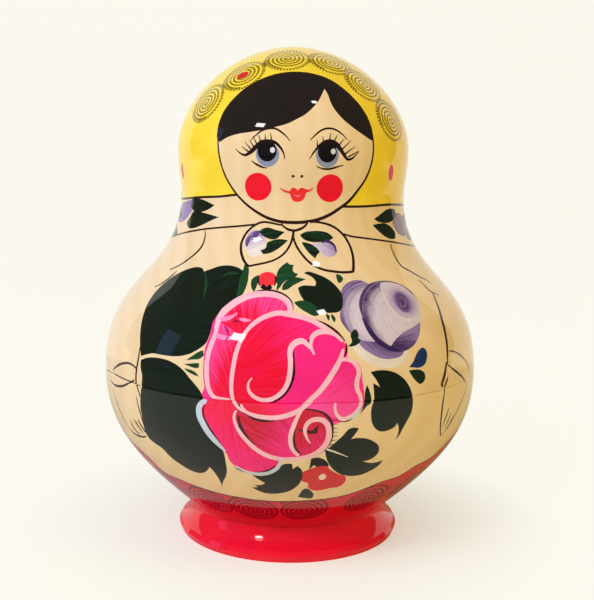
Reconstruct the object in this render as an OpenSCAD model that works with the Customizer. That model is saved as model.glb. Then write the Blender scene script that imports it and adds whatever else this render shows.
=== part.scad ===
/* [Outer doll] */
// Height from the base to the crown
doll_h = 250; // [235:1:265]
// Diameter at the widest part of the body, where the halves meet
belly_w = 191.6; // [180:0.2:205]
// Height of the seam between the two halves
seam_z = 88.6; // [82:0.2:96]
// Diameter at the widest part of the head
head_w = 117.8; // [114:0.2:122]
// Height of the widest part of the head
head_z = 198.6; // [192:0.2:206]
// How far the neck draws in from the head's width, on each side
neck_in = 1.8; // [0.8:0.1:3]
// Height of the neck
neck_z = 176.6; // [170:0.2:182]
// Diameter at the crease above the foot
crease_w = 100; // [96:0.2:106]
// Height of the crease
crease_z = 15; // [13:0.1:18]

/* [Foot] */
// Diameter at the widest part of the foot
foot_w = 115.8; // [112:0.2:120]
// Height of the foot's widest line
foot_mid_z = 3.2; // [2.6:0.1:4]
// Height of the upper edge of the foot's rim
foot_top_z = 5.4; // [4.6:0.1:7]
// How far the base edge and the rim's upper edge draw in from the widest line
foot_edge = 1.2; // [0.6:0.1:2]

/* [Shells] */
// Wall at the seam of the outer doll
wall_t = 6.6; // [5.6:0.1:8]
// Thickness of the solid base under the outer doll's hollow
base_t = 22.5; // [20:0.1:25]
// Thickness of the crown above the outer doll's hollow
crown_t = 9; // [6:0.2:12]
// Room round the head of the next doll where it passes the neck
head_play = 2; // [1:0.1:3]
// Room round the foot of the next doll on the floor it stands on
foot_play = 1.4; // [0.8:0.1:2.4]
// Room under the foot of the next doll
foot_rest_gap = 0.02; // [0.01:0.01:0.05]
// Height of the outer doll's tenon
tenon_h = 10; // [7:0.2:13]
// Radial clearance of each tenon in its socket
tenon_gap = 0.05; // [0.02:0.01:0.1]
// Room above the outer doll's tenon
tenon_end_gap = 0.8; // [0.4:0.1:1.6]
// Chamfer on the rims of the outer doll's halves
rim_chamfer = 0.5; // [0.2:0.1:0.9]

/* [Nest] */
// Size of each doll against the one that holds it
nest_share = 0.8; // [0.77:0.01:0.81]
// Wall of each doll against the one that holds it
wall_share = 0.82; // [0.79:0.01:0.83]

/* [Hidden] */
// Diameter at the neck
neck_w = head_w - 2 * neck_in;
// Share of a shell's wall that its tenon takes at the seam
tenon_share = 0.5;
// Handles of the outline's curves, as shares of the step that each curve makes
crown_flat_share = 0.53;
head_over_share = 0.47;
head_under_share = 0.54;
neck_over_share = 0.25;
neck_under_share = 0.48;
belly_over_share = 0.545;
belly_under_share = 0.36;
crease_shares = [0.8, 0.43];
rim_shares = [0.45, 0.25];
heel_shares = [0.15, 0.45];
// Handles of the hollow's curves, as shares of the step that each curve makes
floor_shares = [0.42, 0.36];
dome_share = 0.55;
hollow_neck_share = 0.56;
hollow_mouth_share = 0.28;
// Bands along each curve of the outline
crown_bands = 14;
head_bands = 6;
shoulder_bands = 16;
bowl_bands = 16;
foot_bands = 5;
hollow_bands = 12;
lacquer = [0.93, 0.66, 0.16];
lacquer_red = [0.78, 0.12, 0.07];
$fn = 96;

// Scale of doll k, and the height of the floor that it stands on
function size(k) = pow(nest_share, k - 1);
function stand_z(k) = k == 1 ? 0 : stand_z(k - 1) + base_t * size(k - 1) + foot_rest_gap;

// Radii and heights of doll k's shell
function wall(k) = wall_t * pow(wall_share, k - 1);
function belly_r(k) = belly_w / 2 * size(k);
function hollow_r(k) = belly_r(k) - wall(k);
function tenon_r(k) = hollow_r(k) + wall(k) * tenon_share;
function socket_r(k) = tenon_r(k) + tenon_gap;
function tenon_top_z(k) = (seam_z + tenon_h) * size(k);
function socket_top_z(k) = (seam_z + tenon_h + tenon_end_gap) * size(k);
function neck_bore_r(k) = head_w / 2 * size(k + 1) + head_play * size(k);
function floor_r(k) = foot_w / 2 * size(k + 1) + foot_play * size(k);

// A cubic curve from its four points, in a number of bands
function curve(a, b, c, d, bands) = [
    for (i = [0 : bands])
        let (s = i / bands, r = 1 - s)
        a * r * r * r + 3 * b * r * r * s + 3 * c * r * s * s + d * s * s * s
];

// A list without its last point, which the next curve starts with
function short(points) = [for (i = [0 : len(points) - 2]) points[i]];

// Outline of the whole doll, from the edge of the base up to the seam
function lower_curve() =
    let (
        crease = [crease_w / 2, crease_z],
        rim = [foot_w / 2 - foot_edge, foot_top_z],
        seam = [belly_w / 2, seam_z],
        step = seam - crease,
        flare = rim - crease
    )
    concat(
        [[foot_w / 2 - foot_edge, 0], [foot_w / 2, foot_mid_z]],
        short(curve(
            rim,
            rim - [flare[0] * rim_shares[0], flare[1] * rim_shares[1]],
            crease + [flare[0] * heel_shares[0], flare[1] * heel_shares[1]],
            crease,
            foot_bands
        )),
        curve(
            crease,
            crease + [step[0] * crease_shares[0], step[1] * crease_shares[1]],
            seam - [0, step[1] * belly_under_share],
            seam,
            bowl_bands
        )
    );

// Outline of the whole doll, from the seam up to the crown
function upper_curve() =
    let (
        seam = [belly_w / 2, seam_z],
        neck = [neck_w / 2, neck_z],
        head = [head_w / 2, head_z],
        crown = [0, doll_h]
    )
    concat(
        short(curve(
            seam,
            seam + [0, (neck_z - seam_z) * belly_over_share],
            neck - [0, (neck_z - seam_z) * neck_under_share],
            neck,
            shoulder_bands
        )),
        short(curve(
            neck,
            neck + [0, (head_z - neck_z) * neck_over_share],
            head - [0, (head_z - neck_z) * head_under_share],
            head,
            head_bands
        )),
        curve(
            head,
            head + [0, (doll_h - head_z) * head_over_share],
            crown + [head_w / 2 * crown_flat_share, 0],
            crown,
            crown_bands
        )
    );

// Hollow of doll k's lower half, from the seam down to the floor
function lower_hollow(k) =
    let (
        seam = [hollow_r(k), seam_z * size(k)],
        edge = [floor_r(k), base_t * size(k)],
        step = seam - edge
    )
    curve(
        seam,
        seam - [0, step[1] * floor_shares[0]],
        edge + step * floor_shares[1],
        edge,
        hollow_bands
    );

// Hollow of doll k's upper half, from the crown down to the socket
function upper_hollow(k) =
    let (
        top = [0, (doll_h - crown_t) * size(k)],
        head = [neck_bore_r(k), head_z * size(k)],
        neck = [neck_bore_r(k), neck_z * size(k)],
        mouth = [hollow_r(k), socket_top_z(k)]
    )
    concat(
        curve(
            top,
            top + [neck_bore_r(k) * dome_share, 0],
            head + [0, (top[1] - head[1]) * dome_share],
            head,
            hollow_bands
        ),
        curve(
            neck,
            neck - [0, (neck[1] - mouth[1]) * hollow_neck_share],
            mouth + [0, (neck[1] - mouth[1]) * hollow_mouth_share],
            mouth,
            hollow_bands
        )
    );

// Doll k, turned about its axis from an outline, on the floor that it stands on
module turned(k, outline) {
    translate([0, 0, stand_z(k)])
        rotate_extrude()
            polygon(outline);
}

// Lower half of doll k: foot, bowl and the tenon that stands above the seam
module lower_half(k) {
    chamfer = rim_chamfer * size(k);
    seam = seam_z * size(k);
    turned(k, concat(
        [[0, 0]],
        short(lower_curve()) * size(k),
        [
            [belly_r(k), seam - chamfer],
            [belly_r(k) - chamfer, seam],
            [tenon_r(k), seam],
            [tenon_r(k), tenon_top_z(k) - chamfer],
            [tenon_r(k) - chamfer, tenon_top_z(k)],
            [hollow_r(k), tenon_top_z(k)]
        ],
        lower_hollow(k),
        [[0, base_t * size(k)]]
    ));
}

// Upper half of doll k: shoulders, head and the socket that takes the tenon
module upper_half(k) {
    chamfer = rim_chamfer * size(k);
    seam = seam_z * size(k);
    outer = upper_curve() * size(k);
    turned(k, concat(
        [
            [socket_r(k), seam],
            [belly_r(k) - chamfer, seam],
            [belly_r(k), seam + chamfer]
        ],
        [for (i = [1 : len(outer) - 1]) outer[i]],
        upper_hollow(k),
        [[socket_r(k), socket_top_z(k)]]
    ));
}

// Doll k without a hollow
module solid_doll(k) {
    lower = lower_curve() * size(k);
    upper = upper_curve() * size(k);
    turned(k, concat(
        [[0, 0]],
        short(lower),
        upper
    ));
}

module doll_01_bottom() { color(lacquer_red) lower_half(1); }
module doll_01_top() { color(lacquer) upper_half(1); }
module doll_02_bottom() { color(lacquer_red) lower_half(2); }
module doll_02_top() { color(lacquer) upper_half(2); }
module doll_03_bottom() { color(lacquer_red) lower_half(3); }
module doll_03_top() { color(lacquer) upper_half(3); }
module doll_04_bottom() { color(lacquer_red) lower_half(4); }
module doll_04_top() { color(lacquer) upper_half(4); }
module doll_05_bottom() { color(lacquer_red) lower_half(5); }
module doll_05_top() { color(lacquer) upper_half(5); }
module doll_06_bottom() { color(lacquer_red) lower_half(6); }
module doll_06_top() { color(lacquer) upper_half(6); }
module doll_07_bottom() { color(lacquer_red) lower_half(7); }
module doll_07_top() { color(lacquer) upper_half(7); }
module doll_08_bottom() { color(lacquer_red) lower_half(8); }
module doll_08_top() { color(lacquer) upper_half(8); }
module doll_09_bottom() { color(lacquer_red) lower_half(9); }
module doll_09_top() { color(lacquer) upper_half(9); }
module doll_10() { color(lacquer) solid_doll(10); }

doll_01_bottom();
doll_01_top();
doll_02_bottom();
doll_02_top();
doll_03_bottom();
doll_03_top();
doll_04_bottom();
doll_04_top();
doll_05_bottom();
doll_05_top();
doll_06_bottom();
doll_06_top();
doll_07_bottom();
doll_07_top();
doll_08_bottom();
doll_08_top();
doll_09_bottom();
doll_09_top();
doll_10();
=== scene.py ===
"""Looks of a matryoshka nesting doll: ten turned dolls, painted in gouache under a clear lacquer."""

import math

import bpy
import numpy as np
from mathutils import Matrix, Vector
from mathutils.geometry import delaunay_2d_cdt
from mathutils.kdtree import KDTree


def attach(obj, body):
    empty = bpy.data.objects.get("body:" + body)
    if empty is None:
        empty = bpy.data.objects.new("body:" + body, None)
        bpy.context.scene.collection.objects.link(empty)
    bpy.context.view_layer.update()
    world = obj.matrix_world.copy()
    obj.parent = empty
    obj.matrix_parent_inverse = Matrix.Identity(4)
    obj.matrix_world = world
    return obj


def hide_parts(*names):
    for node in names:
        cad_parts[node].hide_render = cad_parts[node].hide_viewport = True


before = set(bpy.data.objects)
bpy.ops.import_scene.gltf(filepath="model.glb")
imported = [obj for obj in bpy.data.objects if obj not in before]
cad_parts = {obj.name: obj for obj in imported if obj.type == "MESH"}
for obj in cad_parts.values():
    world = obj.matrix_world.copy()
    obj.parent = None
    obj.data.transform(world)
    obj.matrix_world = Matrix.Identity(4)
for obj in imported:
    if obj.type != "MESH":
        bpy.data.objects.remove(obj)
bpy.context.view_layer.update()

# One millimetre in the frame's metres
MM = 0.001

# The camera that was fitted to the photograph: the doll's axis is the frame's Z, its face looks along -Y
PHOTO_W = 594
PHOTO_H = 600
FOCAL_PX = 981.5
SHIFT_PX = 6.06
EYE_MM = np.array((0.0, -510.0, 191.16))
PITCH = math.radians(7.868)
ROLL = math.radians(0.907)
SENSOR_MM = 36.0

DOLLS = 10
# Dolls that share one painting: the first and last of each run, the detail that it keeps, and how much
# bolder its strokes are. Small dolls are painted more plainly, with strokes that are broad for their size.
RUNS = ((1, 3, 3, 1.0), (4, 6, 2, 1.2), (7, 9, 1, 1.5), (10, 10, 1, 1.6))
# Spacing of the mesh points and of the points along a painted edge, in mm of the outer doll, by detail
GRID_MM = {3: 3.2, 2: 4.6, 1: 7.0}
EDGE_MM = {3: 1.1, 2: 1.7, 1: 2.8}
RING_POINTS = {3: 120, 2: 84, 1: 56}
# Turns harder than these make a corner, on a turned outline and on a painted edge
TURNED_CORNER = math.radians(20)
PAINTED_CORNER = math.radians(62)
# Height of the crease above the foot, in mm of the outer doll, where the foot's red begins: a lighter red,
# painted light for the light that the foot's upturned top catches
LIT_FOOT_Z = 15.0
# Rings of a mesh nearer than this are the same ring, in mm
RING_TOL = 0.02
# Guard against a division by zero
TINY = 1e-9
# Points handled at a time where each is compared with many others
CHUNK = 2048
# Search for the doll's surface along a line of sight: its ends in mm, its steps, and how often the step that
# meets the surface is halved
SIGHT_MM = (380, 640)
SIGHT_STEPS = 400
SIGHT_HALVINGS = 24
# Points of an oval, at least and at most, and how much finer it is drawn than other edges
OVAL_POINTS = (8, 40)
OVAL_FINER = 1.6
# Points in a turn of a spiral, and the turn at which its line begins, in radians
SPIRAL_POINTS = 11
SPIRAL_START = 0.6
# How far the strokes of a dashed ring lean along it, as a share of their way out
DASH_LEAN = 0.5
# A circle past the rim of the disc, which closes shapes that reach the rim
PAST_RIM = 1.02
PAST_RIM_POINTS = 64
# Painted points nearer the rim than this share of its distance are left to the rim
RIM_INSET = 0.9995
# Mesh points stay this share of their spacing clear of painted edges
CLEAR_SHARE = 0.3
# Points nearer than this on the disc become one, and so do lengths that differ by less than this share
MERGE_TOL = 1e-5
LOOP_TOL = 1e-6
# Normals at an edge are taken this share of the way into the face
NUDGE = 1e-3
# Share of the second colour in a paint without a fade, and the step between the streaks of two shapes
PLAIN_SHARE = 0.25
SEED_STEP = 7.3
# Material slots of a piece
PAINTED, LACQUERED, TURNED = range(3)


def colour(red, green, blue):
    """Linear colour from the 0 to 255 levels that a screen shows."""
    levels = np.array((red, green, blue)) / 255
    return tuple(np.where(levels <= 0.04045, levels / 12.92, ((levels + 0.055) / 1.055) ** 2.4))


OUTLINE = colour(44, 20, 10)
THIN_OUTLINE = colour(74, 42, 20)
HAIR = colour(32, 24, 19)
SCARF = colour(252, 213, 52)
SCARF_DEEP = colour(238, 191, 36)
SCARF_LINE = colour(46, 36, 8)
RED_SPOT = colour(214, 40, 38)
LEAF = colour(14, 16, 11)
LEAF_GREEN = colour(20, 48, 24)
FRESH_GREEN = colour(28, 74, 36)
CRIMSON = colour(240, 14, 42)
MAGENTA = colour(252, 40, 114)
ROSE_PINK = colour(252, 76, 136)
DEEP_RED = colour(202, 16, 34)
ROSE_SHADOW = colour(70, 10, 18)
ROSE_TICK = colour(110, 14, 40)
ROSE_LIGHT = colour(250, 156, 176)
PALE_PINK = colour(250, 194, 178)
WARM_PINK = colour(242, 146, 150)
STONE = colour(186, 200, 196)
VIOLET = colour(66, 38, 82)
DUSKY_VIOLET = colour(84, 54, 92)
MAUVE = colour(112, 82, 120)
LILAC = colour(152, 122, 158)
PALE_LILAC = colour(218, 196, 188)
CREAM = colour(236, 216, 180)
BLUE = colour(30, 56, 104)
NIGHT = colour(50, 30, 74)
BERRY = colour(244, 58, 56)
FLOWER_RED = colour(206, 34, 34)
BASE_RED = colour(216, 14, 30)
BASE_DEEP = colour(188, 12, 24)
BASE_DARK = colour(84, 2, 10)
# The base's red painted lighter for the foot: painted light for the light that falls on its upturned top
LIT_FOOT_RED = colour(252, 20, 46)
CHEEK = colour(252, 22, 38)
MOUTH = colour(232, 54, 42)
IRIS = colour(90, 110, 136)
PUPIL = colour(14, 12, 14)
GLEAM = colour(226, 212, 192)
# Lime wood, lacquered and bare, and the paper floor, each in the two shades that its grain or fibre mixes
LACQUERED_WOOD = (colour(246, 215, 155), colour(230, 187, 120))
BARE_LIME = (colour(238, 212, 166), colour(206, 166, 112))
PAPER = (colour(250, 242, 203), colour(254, 247, 209))
BACKDROP = colour(254, 252, 242)


def tangents(points, closed, corner):
    """Directions in which a soft curve leaves and reaches each span of its points, sharp at a hard turn."""
    spans = np.roll(points, -1, axis=0) - points if closed else np.diff(points, axis=0)
    length = np.maximum(np.hypot(*spans.T), TINY)
    way = spans / length[:, None]
    count = len(spans)
    leave = [None] * count
    reach = [None] * count
    for after in range(0 if closed else 1, count):
        before = after - 1
        if np.dot(way[before], way[after]) < math.cos(corner):
            continue
        mean = way[before] * length[after] + way[after] * length[before]
        mean = mean / max(np.hypot(*mean), TINY)
        reach[before] = mean
        leave[after] = mean
    for i in range(count):
        known = leave[i] if leave[i] is not None else reach[i]
        mirrored = way[i] if known is None else 2 * np.dot(way[i], known) * way[i] - known
        leave[i] = mirrored if leave[i] is None else leave[i]
        reach[i] = mirrored if reach[i] is None else reach[i]
    return np.array(leave), np.array(reach), length


def span_points(first, last, leave, reach, length, shares):
    """Points of one cubic span at the given shares of it, and the curve's direction there."""
    t = shares[:, None]
    point = (2 * t**3 - 3 * t**2 + 1) * first + (t**3 - 2 * t**2 + t) * length * leave
    point = point + (3 * t**2 - 2 * t**3) * last + (t**3 - t**2) * length * reach
    way = (6 * t**2 - 6 * t) * (first - last) + (3 * t**2 - 4 * t + 1) * length * leave
    way = way + (3 * t**2 - 2 * t) * length * reach
    return point, way / np.maximum(np.hypot(*way.T), TINY)[:, None]


def section(node):
    """Outline of a turned CAD node as (r, z) in mm, walked from its upper axis end to its lower one."""
    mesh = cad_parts[node].data
    co = np.empty(len(mesh.vertices) * 3, np.float32)
    mesh.vertices.foreach_get("co", co)
    co = co.reshape(-1, 3).astype(float) / MM
    flat = np.column_stack((np.hypot(co[:, 0], co[:, 1]), co[:, 2]))
    rings, ring_of = np.unique(np.round(flat, 3), axis=0, return_inverse=True)
    near = np.hypot(*(rings[:, None] - rings[None]).transpose(2, 0, 1)) < RING_TOL
    ring_of = near.argmax(axis=1)[ring_of.ravel()]
    edges = np.empty(len(mesh.edges) * 2, np.int32)
    mesh.edges.foreach_get("vertices", edges)
    pairs = np.unique(np.sort(ring_of[edges.reshape(-1, 2)], axis=1), axis=0)
    beside = {}
    for a, b in pairs[pairs[:, 0] != pairs[:, 1]]:
        beside.setdefault(a, []).append(b)
        beside.setdefault(b, []).append(a)
    ends = [a for a in beside if len(beside[a]) == 1]
    walk = [max(ends, key=lambda a: rings[a, 1])]
    while True:
        onward = [b for b in beside[walk[-1]] if b not in walk]
        if not onward:
            break
        walk.append(onward[0])
    path = [rings[a] for a in walk]
    if path[0][0] > RING_TOL:
        path.insert(0, np.array((0.0, path[0][1])))
    if path[-1][0] > RING_TOL:
        path.append(np.array((0.0, path[-1][1])))
    return np.array(path)


class Outline:
    """A smooth outline (r, z) through the rings of a turned piece, measured by its length s."""

    SAMPLES = 12

    def __init__(self, rings):
        leave, reach, length = tangents(rings, False, TURNED_CORNER)
        if rings[0, 0] < RING_TOL:
            leave[0] = (1, 0)
        if rings[-1, 0] < RING_TOL:
            reach[-1] = (-1, 0)
        shares = np.linspace(0, 1, self.SAMPLES + 1)
        points = []
        ways = []
        for i in range(len(rings) - 1):
            point, way = span_points(rings[i], rings[i + 1], leave[i], reach[i], length[i], shares)
            points.append(point)
            ways.append(way)
        self.points = np.vstack(points)
        ways = np.vstack(ways)
        steps = np.hypot(*np.diff(self.points, axis=0).T)
        self.s = np.concatenate(((0,), np.cumsum(steps)))
        self.normals = np.column_stack((-ways[:, 1], ways[:, 0]))
        self.knots = np.append(self.s[:: self.SAMPLES + 1], self.s[-1])
        turn = np.einsum("ij,ij->i", leave[1:], reach[:-1])
        self.corners = self.knots[1:-1][turn < math.cos(TURNED_CORNER)]

    def at(self, s):
        """Points (r, z) at lengths along the outline."""
        return np.column_stack([np.interp(s, self.s, axis) for axis in self.points.T])

    def normal(self, s):
        """Normals (r, z) at lengths along the outline."""
        return np.column_stack([np.interp(s, self.s, axis) for axis in self.normals.T])


class Chart:
    """The outside of a doll laid flat on a disc, with the crown in the middle and every angle kept."""

    def __init__(self, outline):
        self.outline = outline
        s = outline.s[1:]
        r = outline.points[1:, 0]
        grow = np.diff(s) / r[:-1]
        turns = np.abs(np.diff(r)) > TINY
        ratio = np.log(r[1:][turns] / r[:-1][turns]) / np.diff(r)[turns]
        grow[turns] = np.diff(s)[turns] * ratio
        self.s = s
        self.log_rho = math.log(s[0]) + np.concatenate(((0,), np.cumsum(grow)))
        self.edge = math.exp(self.log_rho[-1])

    def rho(self, s):
        """Distance from the middle of the disc for lengths along the outline."""
        s = np.asarray(s, float)
        return np.where(s < self.s[0], s, np.exp(np.interp(s, self.s, self.log_rho)))

    def length(self, xy):
        """Lengths along the outline for points of the disc."""
        rho = np.hypot(*np.asarray(xy).T)
        far = np.interp(np.log(np.maximum(rho, TINY)), self.log_rho, self.s)
        return np.where(rho < self.s[0], rho, far)

    def scale(self, xy):
        """Disc units in a millimetre of the doll, at points of the disc."""
        r = self.outline.at(self.length(xy))[:, 0]
        return np.hypot(*np.asarray(xy).T) / np.maximum(r, TINY)

    def place(self, turn, z):
        """Points of the disc at turns from the front, in radians, and heights."""
        line = self.outline.points[:, 1]
        rho = self.rho(np.interp(-np.asarray(z, float), -line, self.outline.s))
        return np.column_stack((rho * np.sin(turn), -rho * np.cos(turn)))

    def around(self, points):
        """Points of the disc from (degrees to the viewer's right of the front, height in mm)."""
        degrees, z = np.asarray(points, float).T
        return self.place(np.radians(degrees), z)

    def gap(self, points):
        """How far points lie outside the doll's surface, in mm across its axis."""
        z = points[..., 2]
        r = np.interp(-z, -self.outline.points[:, 1], self.outline.points[:, 0])
        return np.hypot(points[..., 0], points[..., 1]) - np.where(z < 0, -1.0, r)

    def seen(self, pixels):
        """Points of the disc that the photograph shows at these pixels, or the nearest on the doll's edge."""
        dx, dy = (np.asarray(pixels, float) - (PHOTO_W / 2 - SHIFT_PX, PHOTO_H / 2)).T
        right = dx * math.cos(ROLL) + dy * math.sin(ROLL)
        down = dy * math.cos(ROLL) - dx * math.sin(ROLL)
        ahead = FOCAL_PX * math.cos(PITCH) - down * math.sin(PITCH)
        rise = -FOCAL_PX * math.sin(PITCH) - down * math.cos(PITCH)
        ray = np.column_stack((right, ahead, rise))
        ray = ray / np.linalg.norm(ray, axis=1)[:, None]
        reach = np.linspace(*SIGHT_MM, SIGHT_STEPS)
        gaps = self.gap(EYE_MM + ray[:, None] * reach[None, :, None])
        first = np.where((gaps < 0).any(axis=1), (gaps < 0).argmax(axis=1), gaps.argmin(axis=1))
        near = reach[np.maximum(first - 1, 0)]
        far = reach[first]
        for _ in range(SIGHT_HALVINGS):
            middle = (near + far) / 2
            outside = self.gap(EYE_MM + ray * middle[:, None]) > 0
            near = np.where(outside, middle, near)
            far = np.where(outside, far, middle)
        hit = EYE_MM + ray * far[:, None]
        return self.place(np.arctan2(hit[:, 0], -hit[:, 1]), hit[:, 2])


def gouache(tone, tint=None, streak=0.15, fade=None, fan=None, whirl=None):
    """A paint: its tone, a second colour that streaks or a fade between two pixels bring in, and the pixel
    that its strokes fan out from or whirl round. A whirled paint fades outwards from that pixel."""
    paint = {"tone": tone, "tint": tint or tone, "streak": streak, "fade": fade, "wood": False}
    paint.update(fan=fan or whirl, whirl=whirl is not None)
    return paint


BARE_WOOD = {**gouache(CREAM), "wood": True}


def inside(points, contours):
    """Which points lie inside the contours, by the even-odd rule."""
    odd = np.zeros(len(points), bool)
    for contour in contours:
        x0, y0 = contour.T
        x1, y1 = np.roll(contour, -1, axis=0).T
        slope = (x1 - x0) / np.where(y1 == y0, 1, y1 - y0)
        for start in range(0, len(points), CHUNK):
            x, y = points[start : start + CHUNK].T[:, :, None]
            crossed = ((y0 > y) != (y1 > y)) & (x < x0 + (y - y0) * slope)
            odd[start : start + CHUNK] ^= crossed.sum(axis=1) % 2 == 1
    return odd


class Painting:
    """The shapes painted on a doll, in the order in which they are painted."""

    def __init__(self, chart, detail, bold):
        self.chart = chart
        self.detail = detail
        self.bold = bold
        self.edge_mm = EDGE_MM[detail]
        self.shapes = []

    def on_disc(self, points):
        """Points of the disc: an array is taken to hold them, and a list holds pixels of the photograph."""
        return points if isinstance(points, np.ndarray) else self.chart.seen(points)

    def add(self, contours, paint, level, line=None, within=None):
        """Adds a shape, unless this painting leaves out shapes of its level."""
        if level > self.detail:
            return
        fade = None if paint["fade"] is None else self.chart.seen(paint["fade"])
        fan = None if paint["fan"] is None else self.chart.seen([paint["fan"]])[0]
        shape = {"contours": contours, "paint": paint, "line": line, "within": within}
        shape.update(fade=fade, fan=fan, seed=float(len(self.shapes)))
        self.shapes.append(shape)

    def soft(self, points, closed, finer=1.0):
        """Points along a soft curve through the given ones."""
        points = self.on_disc(points)
        leave, reach, length = tangents(points, closed, PAINTED_CORNER)
        steps = self.chart.scale(points) * self.edge_mm / finer
        found = []
        for i in range(len(length)):
            count = max(1, int(math.ceil(length[i] / steps[i])))
            onward = points[(i + 1) % len(points)]
            shares = np.arange(count) / count
            found.append(span_points(points[i], onward, leave[i], reach[i], length[i], shares)[0])
        if not closed:
            found.append(points[-1:])
        return np.vstack(found)

    def fill(self, points, paint, level=1):
        """A patch inside a soft closed curve."""
        self.add([self.soft(points, True)], paint, level)

    def line(self, points, widths, paint, level=1, closed=False, within=None, finer=1.0):
        """A brush line along a soft curve, with its widths in mm at even places along it."""
        if level > self.detail:
            return
        centre = self.soft(points, closed, finer)
        if closed:
            centre = np.vstack((centre, centre[:1]))
        run = np.concatenate(((0,), np.cumsum(np.hypot(*np.diff(centre, axis=0).T))))
        widths = np.atleast_1d(np.asarray(widths, float))
        width = np.interp(run / run[-1], np.linspace(0, 1, len(widths)), widths)
        scale = self.chart.scale(centre)
        half = width * scale * self.bold / 2
        way = np.gradient(centre, axis=0)
        way = way / np.maximum(np.hypot(*way.T), TINY)[:, None]
        side = np.column_stack((-way[:, 1], way[:, 0]))
        left = centre + side * half[:, None]
        right = centre - side * half[:, None]
        drawn = (centre, run / scale.mean(), side)
        if closed:
            self.add([left[:-1], right[:-1]], paint, level, line=drawn, within=within)
            return
        tip = centre[-1:] + way[-1:] * half[-1]
        tail = centre[:1] - way[:1] * half[0]
        self.add([np.vstack((left, tip, right[::-1], tail))], paint, level, line=drawn, within=within)

    def oval(self, middle, radii, paint, tilt=0.0, level=1):
        """An oval about a point, with radii in mm along and across a tilt in degrees from the right."""
        middle = self.on_disc(middle)
        scale = self.chart.scale(middle)[0]
        count = int(np.clip(2 * math.pi * max(radii) / self.edge_mm * OVAL_FINER, *OVAL_POINTS))
        turn = np.linspace(0, 2 * math.pi, count, endpoint=False)
        across = self.across(middle[0])
        along = np.array((across[1], -across[0]))
        tilt = math.radians(tilt)
        u = radii[0] * np.cos(turn)
        v = radii[1] * np.sin(turn)
        x = u * math.cos(tilt) - v * math.sin(tilt)
        y = u * math.sin(tilt) + v * math.cos(tilt)
        points = middle + scale * (x[:, None] * along - y[:, None] * across)
        self.add([points], paint, level)

    def across(self, point):
        """The direction on the disc that runs down the doll at a point."""
        return point / max(np.hypot(*point), TINY)

    def spiral(self, middle, radius, turns, width, paint, within=None):
        """A spiral line that winds out from a point."""
        middle = self.on_disc(middle)
        scale = self.chart.scale(middle)[0]
        count = int(turns * SPIRAL_POINTS)
        turn = np.linspace(SPIRAL_START, turns * 2 * math.pi, count)
        reach = radius * scale * turn / turn[-1]
        points = middle + np.column_stack((reach * np.cos(turn), reach * np.sin(turn)))
        self.line(points, width, paint, level=2, within=within)

    def dashes(self, middle, radius, count, size, paint):
        """A ring of short strokes about a point, each slanted a little across the ring."""
        middle = self.on_disc(middle)
        scale = self.chart.scale(middle)[0]
        length, width = size
        for i in range(count):
            turn = 2 * math.pi * i / count
            out = np.array((math.cos(turn), math.sin(turn)))
            on = np.array((-out[1], out[0]))
            slant = (out + DASH_LEAN * on) / math.hypot(1, DASH_LEAN)
            half_long = slant * length * scale / 2
            half_wide = np.array((-slant[1], slant[0])) * width * scale / 2
            place = middle[0] + out * radius * scale
            ahead = half_long + half_wide
            aside = half_wide - half_long
            self.add([place + np.array((ahead, aside, -ahead, -aside))], paint, level=3)


def leaf_paint(fan, streak=0.55):
    """Dark green leaf paint whose strokes fan out from a pixel."""
    return gouache(LEAF, LEAF_GREEN, streak, fan=fan)


def paint_base(p):
    """Red base, and the foot in a lighter red that is painted light for its upturned top, with a row of dark
    spirals and a dark line along its upper edge.
    """
    front_edge = [
        (150.7, 459), (163, 471), (180, 479.5), (200, 487.5), (220, 493.5), (240, 497.5), (264.8, 500.8),
        (293.5, 501.3), (320, 499.5), (340, 496.5), (360, 490.5), (380, 482.5), (400, 475.5),
        (414, 466.7), (430, 458.2), (450, 438.5),
    ]
    back_edge = [(82, 62.5), (115, 65), (150, 66), (190, 66), (230, 64.5), (262, 61), (288, 55.5)]
    edge = np.vstack((p.chart.seen(front_edge), p.chart.around(back_edge)))
    turn = np.linspace(0, 2 * math.pi, PAST_RIM_POINTS, endpoint=False)
    beyond = PAST_RIM * p.chart.edge * np.column_stack((np.cos(turn), np.sin(turn)))
    base = [beyond, p.soft(edge, True)]
    p.add(base, gouache(BASE_RED, BASE_DEEP, 0.3), level=1)
    front_spirals = [(-33.6, 29.2), (-14.2, 28.2), (6.2, 29.4), (32.0, 32.6)]
    first_side = 53.0
    side_step = 20.6
    side_spirals = [(first_side + side_step * i, 35.0) for i in range(12)] + [(-54.5, 33.0)]
    ink = gouache(BASE_DARK, BASE_DEEP, 0.3)
    for middle in p.chart.around(front_spirals + side_spirals):
        p.spiral(middle[None], radius=11.9, turns=5.4, width=1.45, paint=ink, within=base)
    # The foot in a lighter copy of the base red: painted light where its upturned top catches the lamps
    foot_top = p.chart.around([(degrees, LIT_FOOT_Z) for degrees in range(0, 360, 6)])
    p.add([beyond, foot_top], gouache(LIT_FOOT_RED, BASE_RED, 0.3), level=1)
    p.line(edge, 0.75, gouache(OUTLINE), closed=True)


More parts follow.
